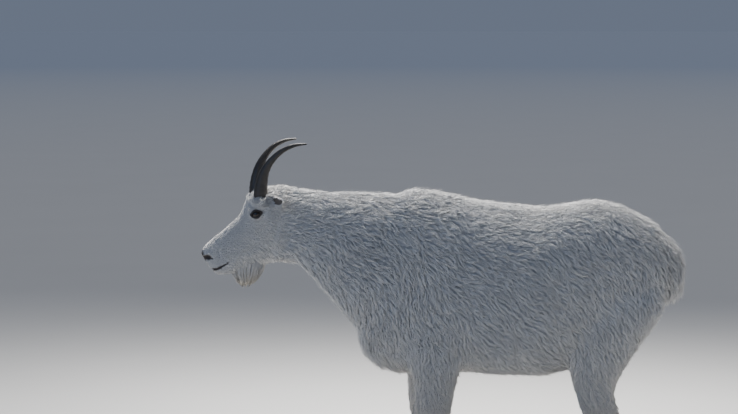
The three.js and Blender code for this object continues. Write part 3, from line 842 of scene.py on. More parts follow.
# The line between the lips in profile: x, z. It is cut that wide and deep.
MOUTH = [(-250, -191), (-238, -190), (-227, -189), (-207, -187), (-193, -179), (-181, -171), (-170, -165)]
MOUTH_WIDTH, MOUTH_DEPTH = 1.5 * MM, 4.4 * MM
# The ruff of flesh round the left horn, and how far the lids stand off the eyeball. Metres.
HORN_SEAT, SEAT_RADII = (-0.071, -0.033, 0.022), (0.025, 0.028, 0.022)
LID = 0.0022
# The left ear: root, long axis and open direction; length, half width of leaf and stem, cup and bow.
EAR_ROOT, EAR_AXIS, EAR_FACE = (-0.034, -0.044, 0.035), (0.02, -0.998, 0.03), (-0.71, 0.0, -0.65)
EAR_LENGTH, EAR_HALF, EAR_STEM, EAR_CUP, EAR_BOW = 0.110, 0.0225, 0.010, 0.017, 0.012


def ear_frame(side):
    """Root, long axis, open direction and flank of an ear."""
    root, axis, face = (mirrored(v, side) for v in (EAR_ROOT, EAR_AXIS, EAR_FACE))
    axis = unit(axis)
    face = unit(face - axis * (face @ axis))
    return root, axis, face, np.cross(axis, face)


def ear_width(u):
    """Half width along an ear: a narrow stem that swells into a leaf and ends in a soft point."""
    swell = np.sin(np.pi * np.clip(u, 0, 0.999) ** 0.72) ** 0.8
    return EAR_STEM * (1 - u) + EAR_HALF * swell + 0.001


def ear_lift(u, v):
    """Height of the leaf over the flat: cup * (1 - u^3) * (v^2 - 0.4) - bow * u^2."""
    return EAR_CUP * (1 - np.clip(u, 0, 1) ** 3) * (v**2 - 0.4) - EAR_BOW * u**2


def ear_leaf(side, along=40, around=44):
    """A cupped leaf: u along it, v = cos(angle) across it, and a thickness that goes with sin(angle)."""
    root, axis, face, flank = ear_frame(side)
    u = np.concatenate([[-0.16, -0.08], np.linspace(0, 0.985, along)])[:, None]
    angle = circle(around)[None, :]
    v = np.cos(angle)
    lift = ear_lift(u, v) + (0.0023 + 0.004 * (1 - np.clip(u, 0, 1)) ** 3) * np.sin(angle)
    width = v * (ear_width(u) - 0.0015)
    rings = root + u[..., None] * EAR_LENGTH * axis + width[..., None] * flank + lift[..., None] * face
    return closed_rings(rings, rings[0].mean(0), root + axis * EAR_LENGTH * 0.995 - face * EAR_BOW)


def to_line(points, line):
    """Distance from each point to a line of straight pieces."""
    best = np.full(points.shape[:-1], 1e9)
    for start, end in zip(line[:-1], line[1:]):
        along = end - start
        t = np.clip((points - start) @ along / (along @ along), 0, 1)
        best = np.minimum(best, np.linalg.norm(points - start - t[..., None] * along, axis=-1))
    return best


def sculpt(points):
    """Sum of the small forms at points, in metres, each height * e^-(distance / width)^2. The cut of the
    mouth ends softly at its corner and is shallower in the middle."""
    half = folded(points)
    total = np.zeros(len(points))
    for row in MOUNDS:
        at, radii, height = np.array(row[:3]) * MM, np.array(row[3:6]) * MM, row[6] * MM
        total += height * np.exp(-(((half - at) / radii) ** 2).sum(-1))
    for line, width, height in LINES:
        away = to_line(half, np.array(line) * MM)
        total += height * MM * np.exp(-((away / (width * MM)) ** 2))
    gap = to_line(half[:, [0, 2]], np.array(MOUTH) * MM)
    fade = ramp(-0.164, -0.178, half[:, 0]) * (0.55 + 0.45 * ramp(0.008, 0.022, half[:, 1]))
    return total - MOUTH_DEPTH * fade * np.exp(-((gap / MOUTH_WIDTH) ** 2))


def head_skin():
    """The zero surface of the head's field, fine, in the animal's frame."""
    low = np.array(HEAD_LOW)
    axes, counts = grid_axes(low, HEAD_HIGH, HEAD_STEP)
    points, faces = node_mesh(["head", "jaw", "neck", "eye_left", "eye_right"])
    field = outer_field(to_head(points), faces, low, counts, HEAD_STEP, 0.001)
    field = soften(field, 1.8) + depth_field(axes, 4, from_head)
    for side in SIDES.values():
        ear, _ = level_set(*ear_leaf(side), low, counts, HEAD_STEP)
        field = soft_least(field, ear, 0.009)
    grid = grid_points(axes).astype(np.float32)
    for side in SIDES.values():
        away = (grid - np.float32(mirrored(HORN_SEAT, side))) / np.float32(SEAT_RADII)
        ruff = (np.linalg.norm(away, axis=-1) - 1) * np.float32(SEAT_RADII[2])
        field = soft_least(field, ruff, 0.010)
    near = np.abs(field) < 0.014
    cells = grid[near].astype(float)
    values = field[near] - sculpt(cells)
    for side in SIDES.values():
        rim, out, away = almond(cells, side)
        values = soft_least(values, np.where(out > -0.004, away - EYE_RADIUS - LID, 1.0), 0.005)
        hole = np.maximum((rim - 1) * OPENING[1], EYE_RADIUS - 0.0015 - away)
        values = np.where(out > 0, np.maximum(values, -hole), values)
    field[near] = values
    points, quads = surface_of(field, low, HEAD_STEP)
    return from_head(points), quads


# %% [markdown]
# ## Sewing head and body together
# Both meshes are cut by a plane through the neck, a few millimetres apart, and each cut leaves a
# ring of points. Going round both rings by angle, every point is joined to the one before it and to
# the last point passed on the other ring, which fills the gap with triangles and leaves no seam.

# %% One skin
SEAM_X, SEAM_GAP = -0.486, 0.006


def cut_at(points, faces, x, keep):
    """Cuts a mesh by the plane at x and keeps the side of smaller (-1) or larger (+1) x."""
    mesh = bpy.data.meshes.new("cut")
    mesh.from_pydata(points, [], faces.tolist())
    shape = bmesh.new()
    shape.from_mesh(mesh)
    bmesh.ops.bisect_plane(
        shape,
        geom=[*shape.verts, *shape.edges, *shape.faces],
        dist=1e-7,
        plane_co=(x, 0, 0),
        plane_no=(-keep, 0, 0),
        clear_outer=True,
    )
    bmesh.ops.triangulate(shape, faces=shape.faces[:])
    shape.to_mesh(mesh)
    shape.free()
    corners = threes(mesh.vertices, "co", np.float32).astype(float)
    triangles = threes(mesh.loops, "vertex_index", np.int32, 1)
    bpy.data.meshes.remove(mesh)
    return corners, triangles


def largest_part(points, faces):
    """Only the faces that hang together with the most others; labels spread along edges until they settle."""
    label = np.arange(len(points))
    while True:
        low = label[faces].min(1)
        new = label.copy()
        np.minimum.at(new, faces.ravel(), np.repeat(low, 3))
        new = np.minimum(new, new[new])
        if (new == label).all():
            break
        label = new
    names, counts = np.unique(label[faces[:, 0]], return_counts=True)
    faces = faces[label[faces[:, 0]] == names[counts.argmax()]]
    used, renumbered = np.unique(faces, return_inverse=True)
    return points[used], renumbered.reshape(-1, 3)


def ring_at(points, x):
    """The points on a cut, in order of their angle about its middle, with those angles."""
    ring = np.flatnonzero(np.abs(points[:, 0] - x) < 1e-6)
    middle = points[ring].mean(0)
    angle = np.arctan2(points[ring, 2] - middle[2], points[ring, 1] - middle[1])
    order = np.argsort(angle)
    return ring[order], angle[order]


def sewn(front, back):
    """One mesh from both, with the strip of triangles that joins their rings."""
    (points, faces), shift = joined([front, back]), len(front[0])
    ring_a, angle_a = ring_at(front[0], SEAM_X)
    ring_b, angle_b = ring_at(back[0], SEAM_X + SEAM_GAP)
    last_b = np.searchsorted(angle_b, angle_a, "right") - 1
    last_a = np.searchsorted(angle_a, angle_b, "right") - 1
    strip_a = np.stack([ring_a, np.roll(ring_a, 1), ring_b[last_b] + shift], -1)
    strip_b = np.stack([ring_b + shift, ring_a[last_a], np.roll(ring_b, 1) + shift], -1)
    strip = np.concatenate([strip_a, strip_b])
    a, b, c = three_corners(points, strip)
    middle = points[ring_a].mean(0)
    outward = (np.cross(b - a, c - a) * ((a + b + c) / 3 - middle)).sum()
    return points, np.concatenate([faces, strip if outward > 0 else strip[:, ::-1]])


front_half = largest_part(*cut_at(*head_skin(), SEAM_X, -1))
back_half = largest_part(*cut_at(*body_skin(), SEAM_X + SEAM_GAP, 1))
skin_points, skin_faces = sewn(front_half, back_half)
print("skin:", len(front_half[1]), "triangles of head,", len(back_half[1]), "of body")


# %% [markdown]
# ## Dark and warm places
# The coat is white, but not evenly so: it is cream on the legs, the belly and the beard, and bare
# dark skin shows round the eyes, on the nose and along the lips. On the belly the cream is partly dust
# and partly painted shade. Both are functions of place, shared by the skin and by the locks that grow
# on it.

# %% Markings
# Dark bare places of the muzzle, as lines in its profile: x, z along the line; half width; least and
# most |y|. Millimetres.
DARK_SPOTS = [
    ([(-255, -130), (-252, -148)], 7.0, 0, 99),
    ([(-250, -146), (-243, -156), (-233, -170), (-221, -189)], 4.0, 0, 6),
    ([(-243, -153), (-236, -148), (-231, -149)], 6.8, 8, 99),
    ([(-231, -151), (-224, -151), (-219, -153)], 1.8, 10, 99),
    ([(-250, -191), (-238, -190), (-227, -189)], 2.4, 0, 99),
    ([(-236, -190), (-227, -189), (-207, -187), (-194, -180)], 4.6, 14, 99),
    ([(-194, -180), (-181, -172), (-172, -167)], 3.0, 0, 99),
]


NEAR_EYE = 0.03


def ear_place(local, side):
    """Where a point is on an ear: u along it, v across it, and whether it is near that ear at all."""
    root, axis, face, flank = ear_frame(side)
    away = local - root
    u = away @ axis / EAR_LENGTH
    v = away @ flank / ear_width(u)
    off = away @ face - ear_lift(u, v)
    return u, v, (u > 0.04) & (u < 1.08) & (np.abs(v) < 1.3) & (np.abs(off) < 0.012)


def markings(points, normals):
    """Dark (0 to 1) and warm (0 to 1) at points, and the hollow of the ears as a third mask. The toes' flesh
    is dark as well, below the hair that ends over the hooves. The hollow of the ears is painted dark, as
    shade."""
    local = to_head(points)
    half = folded(local)
    aside = half[:, 1] / MM
    dark = np.zeros(len(points))
    for line, width, least, most in DARK_SPOTS:
        spot = ramp(1.7, 0.8, to_line(half[:, [0, 2]], np.array(line) * MM) / (width * MM))
        spot = spot * ramp(least - 6, least, aside) if least else spot
        dark = np.maximum(dark, spot * ramp(most + 4, most, aside))
    hollow = np.zeros(len(points))
    turned = normals @ TURN
    for side in SIDES.values():
        rim, out, away = almond(local, side)
        dark = np.maximum(dark, np.where((out > 0) & (away < NEAR_EYE), ramp(1.62, 1.34, rim), 0))
        u, v, close = ear_place(local, side)
        inside = close * ramp(0.0, 0.4, turned @ ear_frame(side)[2]) * ramp(0.80, 0.5, np.abs(v))
        hollow = np.maximum(hollow, inside * ramp(1.0, 0.85, u))
    x, _, z = points.T
    legs = ramp(0.42, 0.12, z)
    # The belly's cream is partly dust and partly painted shade, a darker underside.
    belly_dust_and_shade = ramp(0.50, 0.40, z) * 0.6
    beard = ramp(0.74, 0.66, z) * (x < -0.5)
    warm = np.clip(0.45 * legs + 0.35 * belly_dust_and_shade + 0.5 * beard + 0.12 * (x < -0.5), 0, 0.8)
    dark = np.maximum(dark, 0.9 * ramp(0.062, 0.054, z))
    # The hollow of the ears is painted dark skin: painted shade in the cupped ear.
    return np.maximum(dark, 0.93 * ramp(0.35, 0.7, hollow)), warm, hollow


def corner_normals(points, faces):
    """Unit normals at the corners: the sum of the cross products of the faces that meet there."""
    a, b, c = three_corners(points, faces)
    normal = np.cross(b - a, c - a)
    total = np.zeros_like(points)
    for k in range(3):
        total += np.stack([np.bincount(faces[:, k], normal[:, j], len(points)) for j in range(3)], -1)
    return unit(total)


skin_normals = corner_normals(skin_points, skin_faces)
skin = piece("skin", skin_points, skin_faces, finish["skin"], "coat", FLESH)
dark, warm, hollow = markings(skin_points, skin_normals)
# The skin takes a tip number of 0.15, near the root colour, which is partly painted shade between the locks.
numbers(skin, "coat", np.stack([0.15 + 0 * dark, dark, warm, 0.5 + 0 * dark], -1))

# %% [markdown]
# ## Eyes
# An eye is a wet ball deep between two lids. The ball is a sphere with a slight bulge of the cornea,
# and carries two masks for its shader: the iris, and the pupil, which is a level bar in a goat. The
# bare rims of the lids are a thin dark tube round the opening.

# %% Eyes and lids


def eyeball(side, around=48, along=28):
    """A sphere about the eye's axis, to which the cornea adds 0.7 mm that fades out at 35 degrees. The pupil
    is where (a / 0.46)^4 + (b / 0.19)^4 < 1, a and b being the shares of the radius back and up."""
    centre, axis, back, up = eye_frame(side)
    polar = np.linspace(0.04, np.pi - 0.04, along)[:, None]
    turn = circle(around)[None, :]
    radius = EYE_RADIUS - 0.0006 + 0.0007 * ramp(0.62, 0.3, polar)
    way = np.cos(polar)[..., None] * axis
    way = way + (np.sin(polar) * np.cos(turn))[..., None] * back
    way = way + (np.sin(polar) * np.sin(turn))[..., None] * up
    rings = centre + radius[..., None] * way
    points, faces = closed_rings(rings, centre + axis * radius[0, 0], centre - axis * radius[-1, 0])
    way = unit(points - centre)
    a, b, front = way @ back, way @ up, way @ axis > 0
    iris = ramp(0.80, 0.70, np.hypot(a, b)) * front
    pupil = ramp(1.15, 0.85, ((a / 0.46) ** 4 + (b / 0.19) ** 4) ** 0.25) * front
    return from_head(points), faces, np.stack([iris, pupil, 0 * iris, 0 * iris + 1], -1)


def lid_rim(side, count=72):
    """A tube 2.4 mm thick along the almond's edge, on a ball just larger than the eye."""
    centre, axis, back, up = eye_frame(side)
    turn = circle(count)
    a = OPENING[0] * np.cos(turn)
    b = OPENING[1] * np.sin(turn) * (1 - CORNER_DROP * np.cos(turn) ** 2)
    out = np.sqrt((EYE_RADIUS + 0.0006) ** 2 - a**2 - b**2)
    path = centre + a[:, None] * back + b[:, None] * up + out[:, None] * axis
    radius = 0.0012 + 0.0005 * (np.sin(turn) > 0) * np.sin(turn)
    points, faces = tube_loop(path, unit(path - centre), radius)
    return from_head(points), faces


for name, side in SIDES.items():
    points, faces, masks = eyeball(side)
    ball = piece(f"eyeball_{name}", points, faces, finish["eye"], "eye", [f"eye_{name}"])
    numbers(ball, "iris", masks)
    piece(f"eyelid_rim_{name}", *lid_rim(side), finish["rim"], "eye")

# %% [markdown]
# ## Horns
# A horn sheath is a slim black cone that curves back. Growth leaves rings on its lower half, close
# together near the skull, and the sheath is a little flatter from side to side.

# %% Horn sheaths


def horn(side, along=140, around=28):
    """Sections square to the path, of half depth r(t), with 0.35 mm of growth rings that fade out at two
    thirds of the length."""
    t = np.linspace(0, 1, along)
    rows = spline(HORN_PATH, t)
    path = rows[:, :3] * [1, -side, 1]
    way = unit(np.gradient(path, axis=0))
    flank = unit(np.array([0, 1, 0]) - way * way[:, 1:2])
    front = np.cross(way, flank)
    angle = circle(around)[None, :, None]
    growth = np.sin(2 * np.pi * (15 * np.clip(t, 0, 0.7) ** 0.85 + 0.35 * np.sin(11 * t)))
    ringed = 0.00035 * growth * ramp(0.66, 0.25, t)
    keel = 1 + 0.04 * np.cos(2 * angle) - 0.02 * np.cos(4 * angle)
    section = np.cos(angle) * front[:, None] + 0.9 * np.sin(angle) * flank[:, None]
    rings = path[:, None] + (rows[:, 3] + ringed)[:, None, None] * keel * section
    points, faces = closed_rings(rings, path[0], path[-1] + way[-1] * rows[-1, 3])
    return from_head(points), faces


for name, side in SIDES.items():
    piece(f"horn_sheath_{name}", *horn(side), finish["horn"], "horn", [f"horn_{name}"])

# %% [markdown]
# ## Hooves
# Each foot has two toes, flat on the inner side and rounded on the outer, with a raked front and
# fine growth lines. Two dew claws hang behind the fetlock.

# %% Hooves and dew claws
TOE_LENGTH, TOE_WIDTH, TOE_HEIGHT, TOE_RAKE, TOE_NARROWING = 0.088, 0.037, 0.062, 0.011, 0.2
INNER_SHARE, OUTER_SHARE = 0.42, 0.58
# Levels of a toe as shares of its height, and how wide its edge is there.
TOE_LEVELS = (0, 0, 0.02, 0.06, 0.12, 0.2, 0.3, 0.4, 0.5, 0.6, 0.7, 0.8, 0.9, 1)
TOE_EDGE = (0.80, 0.93, 0.975, 1, 1, 1, 1, 1, 1, 1, 1, 1, 0.985, 0.9)


def bent(value, square):
    """A sine or cosine drawn out towards the corners of a square."""
    return np.sign(value) * np.abs(value) ** (2 / square)


def toe(node, side, around=36):
    """A superellipse that narrows and leans back as it rises, with a rounded edge round the sole."""
    low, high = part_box(node)
    inner = low[1] if side > 0 else high[1]
    level, rim = np.array(TOE_LEVELS, float)[:, None], np.array(TOE_EDGE)[:, None]
    lines = 1 + 0.006 * np.sin(level * 38) * ramp(0.0, 0.2, level)
    shrink = (1 - TOE_NARROWING * level) * rim * lines
    cos, sin = np.cos(circle(around))[None, :], np.sin(circle(around))[None, :]
    across = np.where(sin > 0, OUTER_SHARE * bent(sin, 2.0), INNER_SHARE * bent(sin, 4.0)) * TOE_WIDTH
    x = low[0] + 0.0013 + TOE_LENGTH / 2 + TOE_RAKE * level + bent(cos, 2.3) * TOE_LENGTH / 2 * shrink
    y = inner + side * INNER_SHARE * TOE_WIDTH + side * across * shrink
    rings = np.stack([x, y, 0 * x + level * TOE_HEIGHT], -1)
    return closed_rings(rings, rings[0].mean(0), rings[-1].mean(0))


def dew_claw(node, around=16):
    """A blunt cone that points down and back, within its node's box; its radius goes with (1 - t^1.8)^0.5."""
    low, high = (np.array(c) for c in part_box(node))
    middle, size = (low + high) / 2, high - low
    t, angle = np.linspace(0, 1, 9)[:, None], circle(around)[None, :]
    radius = 0.46 * size[1] * np.sqrt(np.clip(1 - t**1.8, 0.02, 1))
    lean = np.stack([0.12 * size[0] * (2 * t - 1), 0 * t, size[2] * (0.5 - t)], -1)
    ring = np.stack([radius * np.cos(angle), radius * np.sin(angle), 0 * radius * angle], -1)
    rings = middle + lean + ring
    return closed_rings(rings, rings[0].mean(0), rings[-1].mean(0) - [0, 0, 0.001])


for leg in LEGS:
    nodes = [f"hoof_{leg}_{toe_name}" for toe_name in SIDES]
    toes = [toe(node, side) for node, side in zip(nodes, SIDES.values())]
    piece(f"toes_{leg}", *joined(toes), finish["hoof"], "hoof", nodes)
    nodes = [f"dewclaw_{leg}_{toe_name}" for toe_name in SIDES]
    claws = [dew_claw(node) for node in nodes]
    piece(f"dew_claws_{leg}", *joined(claws), finish["hoof"], "hoof", nodes)

# %% [markdown]
# ## Locks of hair
# The coat is made of solid locks: each is a thin three-sided blade that starts in the skin, rises to
# the depth of the coat and lies down along it, and ends in a point. A lock is a path with a width,
# so one function can turn any set of paths into one mesh. Each lock also gets a tiny patch on an
# unwrap of the skin, at its root's place, and its own strip of coordinates for the fine hairs.

# %% Lock meshes


def lock_mesh(path, side, up, width, thick, profile):
    """Blades along paths (n, k + 1, 3): k sections of left, right and top points, and a tip. Profile gives
    the width and thickness of the sections as shares of the lock's own."""
    n, k = path.shape[0], path.shape[1] - 1
    half = (0.5 * width[:, None] * profile)[..., None] * side[:, None]
    rise = (thick[:, None] * profile)[..., None] * up[:, None]
    body = path[:, :k]
    rings = np.stack([body - half, body + half, body + rise], 2).reshape(n, 3 * k, 3)
    points = np.concatenate([rings, path[:, k:]], 1)
    pattern = [(0, 2, 1)]
    for r in range(k - 1):
        for j in range(3):
            a, b = 3 * r + j, 3 * r + (j + 1) % 3
            pattern += [(a, b, b + 3), (a, b + 3, a + 3)]
    last = 3 * (k - 1)
    pattern += [(last + j, last + (j + 1) % 3, 3 * k) for j in range(3)]
    pattern = facing_out(points[0] - points[0].mean(0), np.array(pattern))
    faces = (np.arange(n)[:, None, None] * (3 * k + 1) + pattern).reshape(-1, 3)
    return points.reshape(-1, 3), faces


def along_lock(k):
    """Share of the length, and place across (0 left, 1 right, 0.5 top), of each corner of one lock."""
    t = np.linspace(0, 1, k + 1)
    return np.append(np.repeat(t[:k], 3), 1.0), np.append(np.tile([0.0, 1.0, 0.5], k), 0.5)


LEG_TOP = 0.42  # where the charts and pieces of the legs begin
# Charts of the unwrap: left, right, bottom and top edge of each on the unit square.
CHARTS = {
    "head": (0.005, 0.24, 0.005, 0.66),
    "ear_left": (0.005, 0.12, 0.68, 0.995),
    "ear_right": (0.125, 0.24, 0.68, 0.995),
    "body": (0.255, 0.735, 0.005, 0.995),
    "foreleg_left": (0.75, 0.865, 0.005, 0.49),
    "foreleg_right": (0.88, 0.995, 0.005, 0.49),
    "hindleg_left": (0.75, 0.865, 0.51, 0.995),
    "hindleg_right": (0.88, 0.995, 0.51, 0.995),
}


def unwrap(points, normals):
    """Place of each root on the unwrap: along the part it grows on, and round that part's middle line."""
    x, y, z = points.T
    local = to_head(points)
    found = np.empty((len(points), 2))

    def chart(name, chosen, along, about):
        u0, u1, v0, v1 = CHARTS[name]
        u, v = u0 + (u1 - u0) * np.clip(along, 0, 1), v0 + (v1 - v0) * np.clip(about, 0, 1)
        found[chosen] = np.stack([u, v], -1)[chosen]

    turn = lambda a, b: np.arctan2(a, b) / (2 * np.pi) + 0.5
    every = np.ones(len(points), bool)
    chart("body", every, (x + 0.49) / 1.28, turn(z - 0.70, y))
    slope = unit(np.array([0.876, 0, 0.482]))
    raised_by = local @ np.array([-slope[2], 0, slope[0]]) + 0.03
    chart("head", x < SEAM_X, (local @ slope + 0.31) / 0.40, turn(raised_by, local[:, 1]))
    for name, side in SIDES.items():
        u, v, close = ear_place(local, side)
        front = (normals @ TURN) @ ear_frame(side)[2] > 0
        chart(f"ear_{name}", close, u, 0.25 * (1 + v) * 0.98 + 0.5 * front)
        for leg, middle in (("foreleg", -0.03), ("hindleg", 0.50)):
            chosen = (z < LEG_TOP) & (y * side > 0) & ((x > 0.2) == (leg == "hindleg"))
            chart(f"{leg}_{name}", chosen, z / LEG_TOP, turn(x - middle, y - side * 0.096))
    return found


PATCH = 0.003


def coat_piece(name, points, faces, roots, k, marks, stands_for=()):
    """A coat mesh with its two maps, a patch on the unwrap and a strip for the fine hairs, and its colour
    numbers; marks are dark, warm and tone for each root. A short lock gets less of the root colour, which
    is partly painted shade."""
    made = piece(name, points, faces, finish["hair"], "coat", stands_for)
    t, across = along_lock(k)
    n = len(roots[0])
    place = unwrap(*roots)[:, None] + PATCH * np.stack([across - 0.5, t - 0.5], -1)
    strand = chance.random((n, 1, 2)) * 50 + np.stack([across, t], -1)
    for label, values in (("OFBake", place), ("lock", strand)):
        layer = made.data.uv_layers.new(name=label)
        values = values.reshape(-1, 2)[faces.ravel()]
        layer.uv.foreach_set("vector", values.astype(np.float32).ravel())
    dark, warm, tone = (np.repeat(m, len(t)) for m in marks)
    tip = np.tile(t if k > 2 else 0.45 + 0.55 * t, n)
    numbers(made, "coat", np.stack([tip, dark, warm, tone], -1))
    return made


# %% [markdown]
# ## Growing the coat
# Roots are spread over the skin so that locks lie about four deep everywhere: small ones on the face
# and legs, long ones on the body. Each takes its lie, length, width and depth from the coat map.
# Neighbours bend in the same wave and lean to the middle of a shared clump, which gives the wavy,
# tufted look of the real coat, and some thin wisps stand out of it. The two kinds of lock, long and
# short, differ only in the numbers of a table.

# %% Roots and paths
LONG = 0.0185  # a longer lock than this is of the long kind
# For each kind: how many locks lie over each other; size of a clump; share of wisps; pull to the
# clump's middle; height of the wave, as a share of the length; spread of the tone by clump and by
# lock; width of the sections.
KINDS = {
    "long": {
        "cover": 4.4, "clump": 0.0125, "wisps": 0.14, "pull": 0.85, "wave": 0.075,
        "tones": (0.6, 0.13), "profile": (0.6, 1.0, 0.7),
    },
    "short": {
        "cover": 3.7, "clump": 0.006, "wisps": 0.05, "pull": 0.6, "wave": 0.04,
        "tones": (0.3, 0.08), "profile": (0.7, 0.9),
    },
}
EAR_LOCK = (0.010, 0.0022, 0.0022)  # length, width and depth on the ears
CLUMP_TABLE = chance.random((7919, 5))


def waves(points, size, count=8):
    """Smooth noise of about -1 to 1: a sum of sines that run in random directions over that size."""
    ways = unit(chance.normal(size=(count, 3))) * chance.uniform(0.6, 1.5, (count, 1)) * 2 * np.pi / size
    starts = chance.uniform(0, 2 * np.pi, count)
    return np.sin(points @ ways.T + starts).sum(1) / math.sqrt(count)


def clumps(points, lie, size):
    """The nearest of middles scattered one to a cell, and its two numbers. Of the square of a gap, 0.7 of
    the part along the lie is left out, so that clumps are longer than wide. A hash of its place gives a
    cell its row of the table."""
    cell = np.floor(points / size).astype(np.int64)
    nearest = np.full(len(points), np.inf)
    middle, own = np.zeros((len(points), 3)), np.zeros((len(points), 2))
    for step in np.ndindex(3, 3, 3):
        other = cell + np.array(step) - 1
        row = CLUMP_TABLE[(other * [73856093, 19349663, 83492791]).sum(1) % len(CLUMP_TABLE)]
        away = points - (other + row[:, :3]) * size
        gap = (away**2).sum(1) - 0.7 * (away * lie).sum(1) ** 2
        closer = gap < nearest
        nearest = np.where(closer, gap, nearest)
        middle[closer], own[closer] = (points - away)[closer], row[closer, 3:]
    return middle, own


def roots_on_skin():
    """Roots in proportion to area * cover / (length * width), one after another along the triangles."""
    a, b, c = three_corners(skin_points, skin_faces)
    area = 0.5 * np.linalg.norm(np.cross(b - a, c - a), axis=1)
    _, length, width, _ = coat_map((a + b + c) / 3)
    cover = np.where(length > LONG, KINDS["long"]["cover"], KINDS["short"]["cover"])
    total = np.cumsum(area * cover / (length * width))
    count = int(total[-1])
    which = np.searchsorted(total, (np.arange(count) + chance.random(count)) * (total[-1] / count))
    which = np.minimum(which, len(area) - 1)
    s, t = chance.random((2, count, 1))
    flip = s + t > 1
    s, t = np.where(flip, 1 - s, s), np.where(flip, 1 - t, t)
    spot = a[which] + s * (b - a)[which] + t * (c - a)[which]
    corner = skin_normals[skin_faces[which]]
    return spot, unit((1 - s - t) * corner[:, 0] + s * corner[:, 1] + t * corner[:, 2])


def bare(points, dark, hollow):
    """Places without hair: the eye's opening, the nose and lips, the hollow of the ears, under the horns and
    on the hooves."""
    local = to_head(points)
    none = (dark > 0.65) | (hollow > 0.4) | (points[:, 2] < 0.057)
    for side in SIDES.values():
        rim, out, away = almond(local, side)
        none |= (rim < 1.3) & (out > 0) & (away < NEAR_EYE)
    horn_line = HORN_PATH[:4, :3] * [1, -1, 1]
    return none | (to_line(folded(local), horn_line) < 0.0165)


def combed(spot, normal, dark, kind):
    """Paths of locks: along = length * t, out = depth * (1 - (1 - t)^1.9), a sine to the side, and a pull
    to the middle of the clump that grows with t^1.2; also their sides, widths and tones."""
    lie, length, width, depth = coat_map(spot)
    n, local = len(spot), to_head(spot)
    for side in SIDES.values():
        _, v, close = ear_place(local, side)
        _, axis, _, flank = ear_frame(side)
        lie[close] = (axis + 0.7 * v[close, None] * flank) @ TURN.T
        length[close], width[close], depth[close] = EAR_LOCK
    tangent = unit(lie - normal * (lie * normal).sum(1, keepdims=True))
    middle, own = clumps(spot, tangent, kind["clump"])
    side = np.cross(normal, tangent)
    sway = 0.20 * waves(spot, 0.16) + 0.16 * waves(spot, 0.05)
    sway = sway + 0.40 * (own[:, 1] - 0.5) + chance.normal(0, 0.05, n)
    tangent = unit(tangent + sway[:, None] * side)
    side = np.cross(normal, tangent)
    wisp = chance.random(n) < kind["wisps"]
    length = length * chance.uniform(0.8, 1.22, n) * np.where(wisp, 1.12, 1) * (1 - 0.6 * dark)
    width = width * chance.uniform(0.75, 1.25, n) * np.where(wisp, 0.35, 1)
    pull = ((middle - spot) * side).sum(1) * kind["pull"] * np.where(wisp, 0.4, 1)
    t = np.linspace(0, 1, len(kind["profile"]) + 1)[None, :]
    phase = (2.2 * waves(spot, 0.06) + 2.4 * own[:, 1])[:, None]
    bend = kind["wave"] * length[:, None] * (np.sin(6.4 * t + phase) - np.sin(phase))
    lift = 0.60 + 0.36 * own[:, 0] + chance.uniform(-0.06, 0.10, n)
    lift = depth * lift * np.where(wisp, 1.5, 1)
    out = lift[:, None] * (1 - (1 - t) ** 1.9) - 0.0008 * (1 - t)
    path = spot[:, None] + (length[:, None] * t)[..., None] * tangent[:, None]
    path = path + out[..., None] * normal[:, None]
    path = path + (bend + pull[:, None] * t**1.2)[..., None] * side[:, None]
    by_clump, by_lock = kind["tones"]
    tone = 0.5 + by_clump * (own[:, 0] - 0.5) + chance.normal(0, by_lock, n)
    return path, side, width, np.clip(tone, 0, 1)


# %% [markdown]
# ## The coat in pieces
# The coat is made in pieces by region and side, so that none gets too large. The waves and clumps are
# worked out for all locks of a kind at once, before they are shared out, and so they run on across
# the borders of the pieces.

# %% Coat pieces
# Regions: least and most x, least and most z.
REGIONS = {
    "head": (-9, SEAM_X, -9, 9),
    "neck": (SEAM_X, -0.24, LEG_TOP, 9),
    "shoulder": (-0.24, 0.02, LEG_TOP, 9),
    "ribs": (0.02, 0.24, LEG_TOP, 9),
    "flank": (0.24, 0.45, LEG_TOP, 9),
    "haunch": (0.45, 0.60, LEG_TOP, 9),
    "rump": (0.60, 9, LEG_TOP, 9),
    "foreleg": (SEAM_X, 0.2, -9, LEG_TOP),
    "hindleg": (0.2, 9, -9, LEG_TOP),
}
FEWEST = 20  # a region with fewer locks of a kind gets no piece for them

spots, spot_normals = roots_on_skin()
spot_dark, spot_warm, spot_hollow = markings(spots, spot_normals)
kept = ~bare(spots, spot_dark, spot_hollow)
# Locks in the ears' hollow take 0.1 of the dark skin colour, a little painted shade.
spot_dark = np.where(spot_hollow > 0.01, 0.1, spot_dark)
spots, spot_normals, spot_dark, spot_warm = (v[kept] for v in (spots, spot_normals, spot_dark, spot_warm))
spot_long = coat_map(spots)[1] > LONG
aside = np.where(spots[:, 0] < SEAM_X, to_head(spots)[:, 1], spots[:, 1])
print("roots:", len(spots), "of which long", int(spot_long.sum()))

coat_total = 0
for label, kind in KINDS.items():
    chosen = np.flatnonzero(spot_long == (label == "long"))
    place, normal, dark, warm = (v[chosen] for v in (spots, spot_normals, spot_dark, spot_warm))
    path, flank, width, tone = combed(place, normal, dark, kind)
    profile = np.array([kind["profile"]])
    x, z = place[:, 0], place[:, 2]
    for region, (x0, x1, z0, z1) in REGIONS.items():
        inside = (x >= x0) & (x < x1) & (z >= z0) & (z < z1)
        for name, side in SIDES.items():
            c = np.flatnonzero(inside & (aside[chosen] * side > 0))
            if len(c) < FEWEST:
                continue
            points, faces = lock_mesh(path[c], flank[c], normal[c], width[c], 0.36 * width[c], profile)
            roots, marks = (place[c], normal[c]), (dark[c], warm[c], tone[c])
            title = f"coat_{label}_{region}_{name}"
            coat_piece(title, points, faces, roots, profile.size, marks)
            coat_total += len(faces)

# %% [markdown]
# ## The beard
# The beard hangs from the jaw in a short wedge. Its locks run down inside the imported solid: each
# keeps its place in the solid's cross sections, from the jaw to where it ends.

